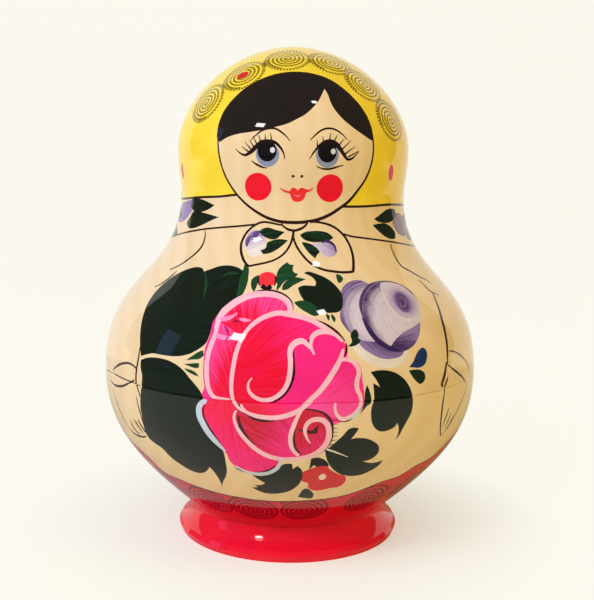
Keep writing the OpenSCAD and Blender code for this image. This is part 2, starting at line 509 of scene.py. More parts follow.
def paint_scarf(p):
    """Yellow scarf over the head, with spirals over the brow and a few red spots."""
    left_edge = [(290, 200), (262, 196), (236.5, 194.8), (220, 196.5), (205, 197), (183, 198.7)]
    back_edge = [(270, 172.8), (235, 172.2), (180, 171.8), (125, 171.8), (90, 172)]
    right_edge = [(402.7, 204.8), (390, 204.5), (360, 206.5), (344, 206.5), (318, 204)]
    edge = np.vstack((p.chart.seen(left_edge), p.chart.around(back_edge), p.chart.seen(right_edge)))
    cloth = gouache(SCARF, SCARF_DEEP, 0.3)
    p.fill(edge, cloth)
    spiral_middles = [(206, 103), (243, 75), (287, 58.5), (331, 62.5), (364, 84.5), (391, 120.5)]
    spiral_radius = 10.6
    meeting_spots = [(222, 87), (264, 64.5), (308.5, 60), (347, 72), (376, 100)]
    ink = gouache(SCARF_LINE, SCARF_DEEP, 0.2)
    for spot in meeting_spots:
        p.oval([spot], (2.0, 2.6), ink, level=2)
    for middle in spiral_middles:
        p.oval([middle], (spiral_radius, spiral_radius), cloth)
        p.spiral([middle], radius=spiral_radius * 0.88, turns=4.7, width=0.95, paint=ink)
        p.dashes([middle], radius=spiral_radius * 0.98, count=40, size=(1.8, 1.05), paint=ink)
    red = gouache(RED_SPOT)
    spot_radii = (2.2, 3.9)
    side_spot = (391, 173)
    p.oval([spiral_middles[1]], (2.9, 2.7), red)
    p.oval([side_spot], spot_radii, red, tilt=-8)
    back_spots = [
        (88, 217), (104, 190), (128, 232), (140, 204), (168, 186), (180, 222), (204, 243), (212, 200),
        (238, 227), (246, 189), (270, 208), (290, 187),
    ]
    for spot in back_spots:
        p.oval(p.chart.around([spot]), spot_radii, red)
    hem = p.soft(edge, True)
    hem_points = 60
    p.line(hem[:: max(1, len(hem) // hem_points)], 1.15, gouache(OUTLINE), closed=True)


# Edge of the face, from its left side over the crown, then down the right and round the chin
FACE_EDGE = [
    (218, 140), (219, 125), (224, 112), (232, 101), (245, 89), (258, 81), (272, 75.5), (287, 72.5),
    (300, 72.2), (315, 74.5), (328, 79), (340, 86.5), (352, 97), (362, 109), (369, 122), (372.5, 136),
    (373, 155), (370.5, 167), (365, 180), (358, 190), (350, 200), (340, 208), (330, 214.5), (318, 219.5),
    (305, 222), (292, 222.5), (280, 221.5), (268, 218), (256, 211.5), (245, 203), (237, 194.5),
    (229, 183), (223, 170), (219.5, 157),
]


def paint_eye(p, iris, pupil, gleam, lashes, lid, under, brow):
    """An eye: a blue iris with a large pupil, a heavy lid with lashes, a lower lid and a brow."""
    ink = gouache(OUTLINE)
    p.oval([iris], (5.5, 5.6), gouache(IRIS, GLEAM, 0.1))
    p.oval([pupil], (4.5, 4.7), gouache(PUPIL))
    p.oval([gleam], (1.2, 1.3), gouache(GLEAM), level=2)
    p.line(lid, (0.35, 1.0, 2.0, 2.4, 1.6, 1.0, 0.35), gouache(PUPIL, OUTLINE, 0.3), finer=2)
    for root, tip in lashes:
        p.line([root, tip], (0.8, 0.55, 0.25), ink, level=2, finer=1.5)
    p.line(under, (0.4, 1.0, 1.0, 0.4), ink, level=2, finer=2)
    p.line(brow, (0.4, 0.85, 1.0, 0.8, 0.35), ink, finer=2)


def paint_face(p):
    """Bare wood face with parted black hair, eyes, cheeks, nose and mouth, inside a dark outline."""
    p.fill(FACE_EDGE, BARE_WOOD)
    hair_left = [
        (220, 142), (228, 137), (240, 133.5), (250, 132), (262, 130), (275, 127), (285, 124.5),
        (297, 119), (305, 114.5), (313, 107.5), (319, 100), (322.5, 93), (324.5, 89),
    ]
    hair_right = [
        (328, 95), (331, 103), (335, 110), (340, 116), (348, 123.5), (355, 129), (362, 134), (370, 139.5),
        (373, 141),
    ]
    crown_edge = FACE_EDGE[15::-1]
    p.fill(hair_left + hair_right + crown_edge, gouache(HAIR))
    left_lashes = [
        ((249, 152), (241.5, 146.5)), ((252, 150.5), (245, 142)), ((254.5, 148), (249.5, 140)),
        ((257.5, 145.5), (253, 136)), ((261, 143), (258.5, 134.5)), ((265.5, 141.5), (265, 134)),
        ((272, 141.5), (270.5, 133)),
    ]
    paint_eye(
        p, iris=(267.5, 155), pupil=(267, 151.5), gleam=(272.5, 150), lashes=left_lashes,
        lid=[(236, 148.5), (240, 153), (245, 155), (250, 152.5), (256, 147), (262, 142.5), (268, 141.3),
             (275, 142.5), (280, 147), (283.5, 153), (284.5, 159)],
        under=[(251.5, 161), (256, 164), (262, 167), (267, 168)],
        brow=[(251, 140), (256, 135), (262, 130.5), (268, 128.5), (275, 128.5), (282, 132.5), (290, 141)],
    )
    right_lashes = [
        ((317.5, 147), (317, 140)), ((323, 143.5), (323, 136)), ((329, 142), (331, 133)),
        ((333.5, 142.5), (337.5, 135)), ((338.5, 146), (344.5, 138.5)), ((341.5, 150), (351, 140.5)),
        ((345, 154), (355.5, 146.5)), ((348.5, 157), (358.5, 151)),
    ]
    paint_eye(
        p, iris=(327.5, 156), pupil=(327.5, 152.5), gleam=(333.3, 151.5), lashes=right_lashes,
        lid=[(309.5, 159), (312, 155), (316, 149.5), (320, 145.5), (326, 142), (332, 141.8), (337, 145),
             (341, 150), (344.5, 155.5), (348, 159.5), (352, 158.5), (356, 154.5), (359, 151.5)],
        under=[(316.5, 166), (322, 168.5), (329, 169), (337, 167), (343.5, 165)],
        brow=[(310.5, 140), (316, 134.5), (322, 130), (328, 128.3), (335, 129.5), (342, 134),
              (347.5, 140)],
    )
    cheeks = [(258, 187.5), (330, 189)]
    nostrils = [(293, 176.2), (301.8, 176.3)]
    for middle in cheeks:
        p.oval([middle], (6.45, 6.4), gouache(CHEEK, DEEP_RED, 0.08))
    for middle in nostrils:
        p.oval([middle], (0.75, 0.7), gouache(OUTLINE), level=2)
    lips = gouache(MOUTH, CHEEK, 0.1)
    mouth = [
        (281, 188.6), (286, 190.6), (290, 191), (291, 188.6), (293.5, 187.6), (296, 188.6),
        (297.5, 190.6), (299.5, 188.6), (302.5, 187.6), (305.5, 189), (309, 189.6), (312.5, 188.2),
        (309, 191.4), (306, 193), (305, 197), (301.5, 201), (297.5, 202), (293.5, 201), (291, 197.5),
        (289.5, 193.5), (285, 192.4),
    ]
    mouth_corners = [
        [(280.5, 188.4), (285.5, 191.4), (291, 192.4)],
        [(313, 188), (308.5, 191), (304, 191.4)],
    ]
    lip_line = [(294.5, 195), (297.5, 196.2), (300.5, 195)]
    p.fill(mouth, lips)
    for corner in mouth_corners:
        p.line(corner, (0.5, 1.0, 1.0), lips, level=2)
    p.line(lip_line, (0.2, 0.5, 0.2), gouache(WARM_PINK), level=3)
    p.line(FACE_EDGE, (0.9, 0.8, 0.9, 1.3, 1.6, 1.5, 1.0, 0.9), gouache(OUTLINE), closed=True)


def paint_collar(p):
    """Collar line round the shoulders, and flowers with pairs of leaves between it and the scarf."""
    left = [(255, 224.5), (240, 226), (220, 227.5), (200, 229.7), (190, 231.5), (180, 234), (171, 238)]
    right = [(412.7, 245.7), (389.7, 241.5), (370.6, 238.9), (360, 237.5), (350, 236), (344, 234)]
    back = [(268, 150.5), (240, 149.5), (180, 149), (120, 149.5), (90, 150.5)]
    ring = np.vstack((p.chart.seen(left), p.chart.around(back), p.chart.seen(right)))
    p.line(ring, 0.95, gouache(OUTLINE))
    petals = gouache(LILAC, VIOLET, 0.7)
    left_petal = [
        (192, 199.5), (187, 201), (182, 204), (179, 210), (178, 217), (179, 222), (186, 219), (192, 211),
    ]
    right_petal = [
        (393, 214), (398, 213), (403, 217), (406, 224), (407, 232), (403, 236), (397, 232), (393, 224),
    ]
    p.fill(left_petal, petals)
    p.fill(right_petal, petals)
    green = gouache(LEAF, LEAF_GREEN, 0.8)
    leaves = [
        [(192, 199), (202, 199.2), (208, 202), (214.5, 205.2), (209, 209), (203, 211.6), (196, 212),
         (191, 207)],
        [(193, 212), (203, 212.6), (210, 214.5), (219, 217.2), (210, 221), (202, 225), (194, 228),
         (188, 227), (187, 222), (190, 217)],
        [(374, 219), (380, 214.5), (386, 210), (391, 208.5), (395, 210.5), (396, 215), (393, 220),
         (389, 222.5), (384, 223), (378, 221.6)],
        [(372.5, 225), (378, 223.8), (386, 223.6), (391, 227), (395, 232), (395.5, 238), (391, 239),
         (385, 236.5), (379, 231.5)],
    ]
    for leaf in leaves:
        p.fill(leaf, green)
    flower_turns = (-92, 92, 180)
    flower_z = 161.5
    upper_leaf = [(6, 164), (13, 168), (22, 165), (13, 162)]
    lower_leaf = [(5, 161), (14, 160), (23, 156), (12, 154.5)]
    for turn in flower_turns:
        for side in (-1, 1):
            for leaf in (upper_leaf, lower_leaf):
                p.fill(p.chart.around([(turn + side * degrees, z) for degrees, z in leaf]), green)
        middle = p.chart.around([(turn, flower_z)])
        p.oval(middle, (6.2, 5.8), petals)
        p.oval(middle, (2.6, 2.4), gouache(PALE_LILAC, LILAC, 0.4))


def paint_bow(p):
    """The scarf's bow under the chin: two bare loops with a violet petal and two leaves in each."""
    left_loop = [
        (281, 225), (276, 224), (269, 222.5), (263, 222), (257, 224), (250, 229), (245, 235),
        (241.5, 243), (241, 251), (242.5, 257), (245.5, 263), (249, 266), (254, 265), (262, 263.5),
        (270, 261.5), (278, 258), (285, 252.5), (290, 245), (292.5, 238), (293.5, 231),
    ]
    right_loop = [
        (293.5, 238), (296.5, 246), (301, 253), (306, 259), (311, 263.5), (318, 267.5), (325, 270),
        (334, 271.5), (343, 272.3), (353, 271.5), (353.5, 263), (352.5, 254), (349.5, 245), (345, 237),
        (340, 231.5), (333, 226.5), (325, 223.5), (317, 222), (310, 222),
    ]
    knot = [(281.5, 224), (285, 227.5), (290, 230), (295, 230.5), (300, 229), (305, 226), (307.5, 222.5)]
    p.fill(left_loop, BARE_WOOD)
    p.fill(right_loop, BARE_WOOD)
    green = gouache(LEAF, FRESH_GREEN, 0.8)
    left_petal = [
        (246, 239), (251, 232), (257, 230), (262, 234), (266, 242), (265, 250), (258, 256), (250, 256),
        (246, 250),
    ]
    p.fill(left_petal, gouache(LILAC, CREAM, 0.5, fade=((251, 234), (254, 250)), fan=(280, 240)))
    petal_shades = [
        ([(247, 246), (247.8, 240.5), (251, 236)], (0.8, 2.4, 1.0)),
        ([(252.5, 239), (255.5, 234.5), (260, 231.5)], (1.0, 3.0, 1.2)),
    ]
    for path, widths in petal_shades:
        p.line(path, widths, gouache(VIOLET, LILAC, 0.3), level=2)
    left_leaves = [
        [(259, 231), (263, 228.5), (268, 227.5), (275, 229.5), (285, 232), (281, 235), (276, 239),
         (270, 239), (264, 236.5)],
        [(280, 239), (288, 240.5), (283, 245), (277, 249.5), (270, 253), (263, 254), (260, 250),
         (266, 247.5), (267, 243), (272, 240.5)],
    ]
    right_petal = [
        (305, 240.5), (313, 243), (320, 242.5), (329, 241), (335, 246), (337, 251), (334, 256),
        (328, 257), (322, 254.5), (317, 248), (311, 243.5),
    ]
    right_leaves = [
        [(300, 235), (305, 232), (312, 231), (320, 231), (328, 233), (333.5, 238), (329, 240.5),
         (321, 242), (312, 242), (305, 240)],
        [(301.5, 242), (308, 243), (315, 246.5), (320, 252), (317, 255), (315.5, 258.5), (310, 254),
         (305, 248)],
    ]
    for leaf in left_leaves + right_leaves:
        p.fill(leaf, green)
    p.fill(right_petal, gouache(LILAC, PALE_LILAC, 0.5, fade=((334, 243), (318, 252)), fan=(305, 240)))
    right_shade = [(322, 242.5), (330, 242), (335, 247), (336, 252)]
    p.line(right_shade, (0.6, 1.5, 1.2, 0.5), gouache(VIOLET), level=2)
    below_knot = [(293.5, 230), (293, 240)]
    ink = gouache(OUTLINE)
    p.line(left_loop, (0.9, 1.1, 1.3, 1.1, 1.0, 1.1), ink)
    p.line(right_loop, (1.0, 1.2, 1.4, 1.4, 1.2, 1.0), ink)
    p.line(knot, (0.8, 1.2, 1.3, 0.9), ink)
    p.line(below_knot, (1.2, 1.0), ink)


def paint_arms(p):
    """Sleeves, cuffs and hands drawn in thin brown lines at both sides."""
    ink = gouache(OUTLINE, THIN_OUTLINE, 0.4)
    fine_lines = [
        [(107, 370), (115, 374.5), (125, 379.5), (135, 383.5), (140, 386)],
        [(113, 389), (115, 397), (119, 408), (124, 419), (130, 429)],
        [(136.5, 397), (138, 405), (140.5, 414), (143.5, 424), (146.5, 434)],
        [(449, 351), (454, 351.5), (460, 355), (465, 360), (468, 366), (469, 372)],
        [(466.5, 384), (465.5, 390), (462, 400), (457, 411), (451, 422), (446, 430), (441.5, 435)],
        [(449, 408), (446, 417), (442, 427)],
        [(450.5, 414), (448, 421), (444, 428)],
        [(453, 416), (450, 423), (446, 429)],
    ]
    bold_lines = [
        [(205, 231), (205, 237), (202.5, 245), (197, 252), (190, 258), (183, 263), (176, 267),
         (170, 269.5)],
        [(176.5, 271), (172, 275.5), (165, 281), (159, 285), (155, 286.5)],
        [(140.5, 345), (139, 355), (137, 366), (136, 376), (136, 382), (138.5, 391), (140.5, 397)],
        [(113, 370), (117, 366), (123, 363.3), (130, 363.5), (134, 366), (136.5, 369)],
        [(111, 380), (113.5, 384), (118, 386), (124, 385.5), (129, 383), (134, 380)],
        [(130, 429), (136, 434.5), (141, 436.5), (146, 436.5)],
        [(130, 420), (134, 428), (140, 434)],
        [(134, 419.5), (139, 427), (143, 433)],
        [(138, 420), (142, 427), (145, 432)],
        [(390.5, 244), (393, 252), (397, 260), (401, 265.5), (410, 271), (420, 277), (428, 281),
         (431, 283.5)],
        [(419, 280), (425, 286), (430, 291), (434, 293), (438, 295)],
        [(448, 365), (453, 369), (458, 373), (463, 378), (466, 383)],
        [(448, 377), (446, 383), (444.5, 387)],
        [(445, 385), (444.5, 392), (443, 402), (441.5, 415), (440.5, 425), (440.5, 435.5)],
    ]
    broad_lines = [
        [(433, 294), (436, 301), (439, 309), (442, 320), (445, 332), (447, 345), (447.5, 355),
         (447.5, 363)],
        [(446.5, 363), (445.5, 370), (444, 377), (441.5, 385), (443, 386)],
    ]
    for path in fine_lines:
        p.line(path, (0.5, 0.95, 0.9, 0.45), ink, level=2)
    for path in bold_lines:
        p.line(path, (0.7, 1.3, 1.2, 0.8), ink, level=2)
    for path in broad_lines:
        p.line(path, (1.2, 2.0, 1.9, 1.2), ink)
    sleeve_seams = [
        [(-96, 149), (-93, 138), (-89, 127), (-85, 118), (-82, 109)],
        [(96, 149), (94, 138), (91, 127), (88, 118), (85, 111)],
        [(-82, 108), (-84, 101), (-83, 94)],
        [(85, 110), (88, 104), (87, 96)],
        [(-83, 93), (-80, 84), (-73, 74), (-64, 66)],
        [(87, 95), (84, 86), (77, 77), (69, 71)],
    ]
    for path in sleeve_seams:
        p.line(p.chart.around(path), (0.4, 0.75, 0.7, 0.35), ink, level=2)


def paint_left_leaves(p):
    """The two great dark leaves to the left of the rose, with a bare vein between them and small sprouts."""
    upper = [
        (141, 356), (140, 345), (140.5, 330), (143, 316), (149, 301), (157, 290), (166, 281.5),
        (177, 274), (188, 269), (197, 267), (202, 268), (204, 271.5), (211, 269), (220, 266),
        (230, 265.5), (238, 267.5), (243, 271), (240, 285), (237, 299.5), (228, 306), (219, 313),
        (213, 322), (210, 334), (206, 343), (197, 350), (189, 354), (180, 356), (170, 356), (160, 354.5),
        (152, 353.3), (146, 354.5),
    ]
    strip = [
        (245, 262), (248.5, 267), (248.5, 276), (246.5, 286), (242, 295), (238, 299.5), (236.5, 297),
        (238, 288), (240, 278), (243, 270),
    ]
    lower = [
        (141, 360), (146, 358), (152, 357.3), (161, 358.3), (172, 362), (182, 369), (190, 378.5),
        (195.5, 385), (200, 391), (205, 400), (199, 406), (198, 411), (201, 421), (206, 431), (213, 440),
        (222, 449), (225.5, 461), (226.8, 470), (226, 476), (223.5, 481), (222, 489), (220.5, 482),
        (217, 476), (213, 470.5), (209.5, 467), (207.5, 470), (204, 472.5), (199, 473), (191, 470.5),
        (180, 464), (170, 456.5), (163, 449), (154, 442.5), (149, 438), (145, 431), (143, 421),
        (140.5, 408), (140.5, 396), (141.5, 385), (142, 375), (140.5, 365),
    ]
    p.fill(upper, leaf_paint((150, 350)))
    p.fill(lower, leaf_paint((150, 362)))
    p.fill(strip, gouache(FRESH_GREEN, LEAF, 0.5, fan=(238, 300)))
    sheens = [
        ([(205, 272), (206, 284), (203, 300)], (0.4, 1.4, 0.4)),
        ([(222, 277), (230, 273), (238, 274)], (0.4, 1.8, 0.5)),
    ]
    for path, widths in sheens:
        p.line(path, widths, gouache(FRESH_GREEN, LEAF, 0.8), level=3)
    sprouts = [
        [(186, 360), (192, 356), (198, 352), (203, 350), (204, 355), (200, 358.5), (193, 359.5)],
        [(184, 364), (190, 363.5), (199, 363), (199, 367.5), (195, 368), (189, 366)],
        [(184, 368.5), (190, 369.5), (195, 372), (199, 376.5), (190, 373)],
    ]
    for sprout in sprouts:
        p.fill(sprout, gouache(FRESH_GREEN, LEAF, 0.6), level=2)


# Edges of the rose's petals, which neighbouring petals and the pale strokes along them share
TOP_EDGE = [
    (230, 306), (240, 299.5), (250, 295.5), (260, 294), (270, 294), (280, 296.5), (287, 301), (290, 307),
    (289, 314),
]
HEART_TOP = [
    (243, 336), (250, 327), (258, 320.5), (268, 315.5), (278, 313), (290, 314.5), (302, 317),
    (312, 320.5), (322, 326), (333, 333), (342, 341),
]
HEART_RIGHT = [(343, 350), (340, 360), (334, 371), (327, 382), (318, 393), (310, 400), (304, 405)]
HEART_FOOT = [(290, 414.5), (278, 417.5), (265, 417.5), (253, 415)]
HEART_LEFT = [(234, 401), (231.5, 392), (231.5, 380), (233.5, 365), (237, 350)]
LEFT_EDGE = [(206.5, 368), (207, 380), (209, 390), (214, 397), (222, 399)]
CURL_TOP = [(290, 352), (292, 346), (297, 342), (302, 341), (308, 345), (314, 354)]
CURL_SIDE = [(283, 391), (288, 382), (290, 372), (290.5, 360)]
FOLD = [(311, 342), (313, 336), (318, 332.5), (326, 331.5), (334, 334), (342, 341)]
RIGHT_EDGE = [
    (347, 359.5), (353, 361.5), (357, 366), (359, 373), (357, 381), (357, 388), (360, 395), (361, 402),
    (358, 410), (350, 417), (342, 419),
]
SWIRL_LEFT = [(303, 408), (298, 416), (294, 425), (291, 434), (290.5, 442), (293, 450), (298, 455)]
LOWER_EDGE = [
    (236, 411), (234, 417), (236, 425), (241, 434), (248, 442), (257, 450), (268, 456), (280, 459),
    (290, 459),
]
STONE_EDGE = [(205, 401), (199, 407), (199, 414), (203, 424), (210, 435), (218, 444), (225, 451)]
BOTTOM_EDGE = [(258, 474), (270, 472.5), (278, 467), (280.5, 460)]


def paint_rose(p):
    """The great rose: streaked petals from crimson to magenta, with dark shadows and pale edges."""
    silhouette = [
        (262, 291), (275, 292), (284, 295.5), (290, 301), (292.5, 308), (290.5, 313), (300, 315),
        (312, 319), (323, 324.5), (335, 332), (343, 340), (346.5, 346), (347, 357), (353, 359.5),
        (359, 364), (361.5, 371), (362.5, 380), (364, 392), (364, 402), (362, 409), (356, 416),
        (347, 420.5), (331, 424), (332, 432), (330, 441), (325, 449), (316, 456), (305, 459), (290, 460),
        (281, 460), (281.5, 464), (280, 468), (274, 472), (265, 474.5), (255, 474), (244, 471),
        (236, 467), (230, 461), (226, 453), (220, 447), (213, 440), (206, 431), (200, 420), (197, 412),
        (198, 405), (203, 399), (202, 393), (204, 388), (203, 375), (203.5, 360), (205, 348), (210, 335),
        (213, 322), (219, 313), (228, 306), (240, 299), (250, 294.5),
    ]
    p.fill(silhouette, gouache(MAGENTA, ROSE_PINK, 0.5, fan=(280, 400)))
    top_petal = [(216, 321), (222, 312)] + TOP_EDGE + HEART_TOP[4::-1] + [(230, 335), (219, 327)]
    p.fill(top_petal, gouache(ROSE_PINK, CRIMSON, 0.9, fade=((266, 288), (252, 328)), fan=(248, 352)))
    left_petal = [(219, 322), (216, 335), (212, 343), (208, 355)] + LEFT_EDGE + [(232, 400)]
    left_petal += HEART_LEFT[2:] + [(243, 336), (230, 328)]
    p.fill(left_petal, gouache(ROSE_PINK, CRIMSON, 0.85, fade=((206, 350), (231, 362)), fan=(252, 430)))
    heart = HEART_TOP + HEART_RIGHT + HEART_FOOT + [(241, 405)] + HEART_LEFT
    p.fill(heart, gouache(CRIMSON, MAGENTA, 0.6, fade=((262, 350), (318, 322)), fan=(215, 395)))
    curl_foot = [(290, 413), (276, 416), (262, 416), (252, 410), (256, 402), (268, 402), (276, 398)]
    inner_curl = CURL_TOP + FOLD + HEART_RIGHT + curl_foot + CURL_SIDE
    p.fill(inner_curl, gouache(MAGENTA, CRIMSON, 0.45, fade=((290, 396), (258, 414)), fan=(215, 420)))
    right_petal = [(343, 352)] + RIGHT_EDGE + [(325, 414), (306, 409)] + HEART_RIGHT[:0:-1]
    p.fill(right_petal, gouache(MAGENTA, ROSE_PINK, 0.6, fade=((340, 365), (325, 412)), fan=(300, 420)))
    lower_petal = [(241, 405)] + HEART_FOOT[::-1] + SWIRL_LEFT + LOWER_EDGE[::-1]
    p.fill(lower_petal, gouache(DEEP_RED, MAGENTA, 0.9, fade=((254, 425), (290, 446)), fan=(330, 480)))
    swirl_right = [(303, 408), (318, 411), (326, 415), (330, 425), (329, 438), (323, 448), (310, 456)]
    swirl = swirl_right + SWIRL_LEFT[:0:-1]
    p.fill(swirl, gouache(DEEP_RED, MAGENTA, 0.6, fade=((306, 428), (332, 454)), fan=(300, 400)))
    bottom_petal = STONE_EDGE + [(230, 460), (236, 466), (246, 471)] + BOTTOM_EDGE + LOWER_EDGE[6::-1]
    bottom_petal += [(241, 405), (232, 400), (218, 399)]
    p.fill(bottom_petal, gouache(CRIMSON, MAGENTA, 1.0, fade=((234, 403), (220, 458)), fan=(228, 375)))
    paint_rose_shadows(p)
    paint_rose_edges(p)
    paint_rose_ticks(p)


def paint_rose_shadows(p):
    """Thin dark strokes beside the rose's pale edges."""
    ink = gouache(ROSE_SHADOW, OUTLINE, 0.4)
    shadows = [
        ([(244, 296.5), (255, 292), (268, 290.5), (280, 293), (288, 298), (292.5, 306), (290, 315)], 1.4),
        ([(293, 348), (293.5, 362), (293, 376), (288, 389), (280, 398), (270, 403)], 1.6),
        ([(312.5, 351), (309.5, 345), (311, 338)], 2.0),
        ([(313, 319), (325, 324), (337, 332), (345, 341)], 1.2),
        ([(243.5, 409), (252, 417), (262, 420), (274, 420.5)], 1.8),
        ([(235, 402), (240, 408), (246, 413)], 2.0),
        ([(306, 409.5), (316, 410.5), (325, 414), (331, 421), (332.3, 431), (330.5, 441),
          (325, 449), (315, 456)], 1.3),
        ([(297, 420), (294, 430), (293.5, 441), (296, 449), (301, 454)], 1.4),
        ([(238.5, 416), (240, 425), (245, 435), (254, 444)], 1.7),
        ([(204.5, 405), (203, 413), (207, 424), (214, 435), (221, 444)], 1.2),
        ([(236, 468), (246, 472), (258, 473), (268, 470.5), (275, 466)], 1.5),
        ([(231.5, 396), (236, 404), (243, 411)], 1.0),
        ([(336, 417), (345, 421), (354, 416.5)], 1.0),
        ([(346, 343), (346.5, 350), (344, 357)], 1.0),
    ]
    taper = 0.4
    for path, width in shadows:
        p.line(path, (width * taper, width, width, width * taper), ink, level=2)
    across_swirl = [(298.5, 429.5), (305, 431), (312, 431.5)]
    p.line(across_swirl, (0.5, 1.4, 0.8), ink, level=3)
    hatch = [(326, 422), (332, 420.5), (338, 420)]
    hatch_step = 4
    for step in range(7):
        p.line([(x, y + hatch_step * step) for x, y in hatch], (0.3, 0.45, 0.2), ink, level=3)
    swirl_heart = [(307, 433), (313, 430), (316, 427), (318.5, 424.5), (317.5, 433), (313, 434)]
    p.fill(swirl_heart, ink, level=2)


def paint_rose_ticks(p):
    """Fine dark ticks on the light strokes at the rose's upper left."""
    ticks = [
        [(224.5, 326), (227.5, 330.5), (229, 335.5)],
        [(232, 322.5), (235, 321), (237.5, 321), (240, 323)],
        [(228, 336.5), (225.5, 341)],
    ]
    for tick in ticks:
        p.line(tick, (0.3, 0.7, 0.3), gouache(ROSE_TICK), level=3)


def paint_rose_edges(p):
    """Pale brush strokes along the edges of the rose's petals."""
    curl_foot = [(252, 378), (248, 385), (249, 391), (253, 396), (260, 399.5), (268, 400), (276, 397)]
    upper_left = [(222, 315.5), (217.8, 325), (215, 335), (210.5, 346), (207.5, 357)]
    swirl = [
        (310, 443), (306, 436), (305, 429), (309, 422), (315, 419.5), (322, 420), (327, 424), (329, 431),
        (328, 440), (323, 448), (315, 454), (303, 458), (290, 459),
    ]
    pale = gouache(PALE_PINK, WARM_PINK, 0.45)
    pale_strokes = [
        ([(216, 329), (218, 321), (223, 312.5)] + TOP_EDGE, (1.6, 3.6, 3.8, 3.2, 2.8, 2.2)),
        (upper_left + LEFT_EDGE + [(229, 399.5)], (1.2, 2.2, 2.2, 2.2, 2.0, 1.2)),
        ([(243, 336)] + HEART_LEFT[::-1] + [(240, 409), (246, 412)], (1.8, 2.0, 1.9, 1.6, 1.2)),
        (HEART_TOP, (1.6, 2.2, 2.6, 2.6, 2.4, 1.2)),
        (curl_foot + CURL_SIDE + CURL_TOP, (0.5, 1.6, 1.8, 2.0, 2.2, 2.2, 2.8, 0.8)),
        ([(312, 349)] + FOLD, (0.8, 2.0, 2.6, 2.0, 1.0)),
        (HEART_RIGHT, (1.4, 2.4, 2.4, 2.2, 1.8)),
        ([(340, 360)] + RIGHT_EDGE + [(337, 415), (335, 409), (335.5, 403)],
         (1.6, 2.0, 2.2, 1.6, 2.0, 1.8, 0.9)),
        ([(241, 405), (245, 411)] + HEART_FOOT[::-1] + [(300, 410), (306, 405), (311, 402)],
         (1.0, 1.9, 2.1, 2.2, 2.0)),
        (LOWER_EDGE, (1.0, 1.8, 2.2, 2.4, 2.0)),
        (swirl, (0.6, 1.8, 2.4, 2.6, 2.6, 2.4, 2.0)),
        (SWIRL_LEFT, (1.2, 2.0, 2.0, 1.6)),
    ]
    for path, widths in pale_strokes:
        p.line(path, widths, pale)
    light = gouache(ROSE_LIGHT, ROSE_PINK, 0.5)
    light_strokes = [
        ([(217, 335.5), (224, 337.5), (232, 338)], (2.0, 2.2, 1.0)),
        ([(222, 319), (230, 317.5), (237, 313)], (2.4, 2.0, 0.8)),
        ([(240, 319), (245, 320), (250, 320.5)], (1.2, 2.0, 0.8)),
    ]
    for path, widths in light_strokes:
        p.line(path, widths, light, level=2)
    stone = gouache(STONE, CREAM, 0.4)
    right_tip = [(361, 404), (357, 413), (349, 419)]
    p.line(STONE_EDGE, (2.2, 3.0, 3.0, 2.6, 1.0), stone)
    p.line([(236, 466), (246, 471.5)] + BOTTOM_EDGE, (0.8, 1.8, 2.2, 2.0, 1.4), stone)
    p.line(right_tip, (0.6, 1.6, 0.6), stone, level=2)


def paint_buds_above(p):
    """A berry and small leaves above the rose, and the dark leaf at its upper right."""
    berry = (267, 279.5)
    p.oval([berry], (4.5, 4.1), gouache(BERRY, CRIMSON, 0.3))
    green = gouache(FRESH_GREEN, LEAF, 0.7)
    berry_leaf = [
        (251, 284), (252, 279), (256, 276), (258.5, 275), (258, 282), (256, 288), (254, 292),
        (251.5, 288),
    ]
    p.fill(berry_leaf, green)
    sepals = [(260, 287.5), (263.5, 283.5), (266.5, 287), (270, 284), (272.5, 288), (267, 292)]
    p.fill(sepals, gouache(LEAF), level=2)
    berry_sides = [[(259, 276), (258.3, 281), (260, 286)], [(275, 276), (275.8, 281), (274, 286)]]
    for side in berry_sides:
        p.line(side, (0.4, 0.9, 0.4), gouache(LEAF), level=3)
    cluster = [
        [(276.5, 282), (276.5, 275), (279, 269), (283, 265), (287.5, 262), (290, 264.5), (294, 264.5),
         (293, 268), (293, 271), (298, 273.5), (296, 276.5), (289, 279), (283, 283), (280, 288)],
        [(282, 290), (284, 283), (289, 279), (295, 277), (301, 278), (306, 279), (300, 282),
         (293, 285.5), (287, 289.5)],
        [(277, 291), (277, 285), (280, 280), (283, 276), (281, 284)],
    ]
    for leaf in cluster:
        p.fill(leaf, green)
    dark = [
        (304, 273), (309, 271.5), (314, 273), (322, 276), (330, 280.5), (336, 286), (340.5, 291.5),
        (343, 302), (340, 311), (330, 313), (322, 313), (316, 316), (306, 312), (299, 307.5),
        (294, 302.5), (304, 300.5), (300, 294), (298, 288), (303, 285.5), (309, 285.5), (315, 286),
        (316, 283), (312, 277), (306, 274),
    ]
    p.fill(dark, leaf_paint((300, 303), 0.4))
    lit = [(294, 302.5), (304, 300.5), (312, 303.5), (318, 312), (315.5, 316), (306, 312), (299, 307.5)]
    p.fill(lit, green, level=2)
    tips = [
        [(326, 313), (330, 316), (329, 321), (326.5, 317)],
        [(331, 314), (335, 317), (334.5, 322.5), (332, 319)],
        [(336, 274), (340, 275), (343, 278), (341.5, 282), (338.5, 283), (336.5, 278)],
    ]
    for tip in tips:
        p.fill(tip, green, level=2)


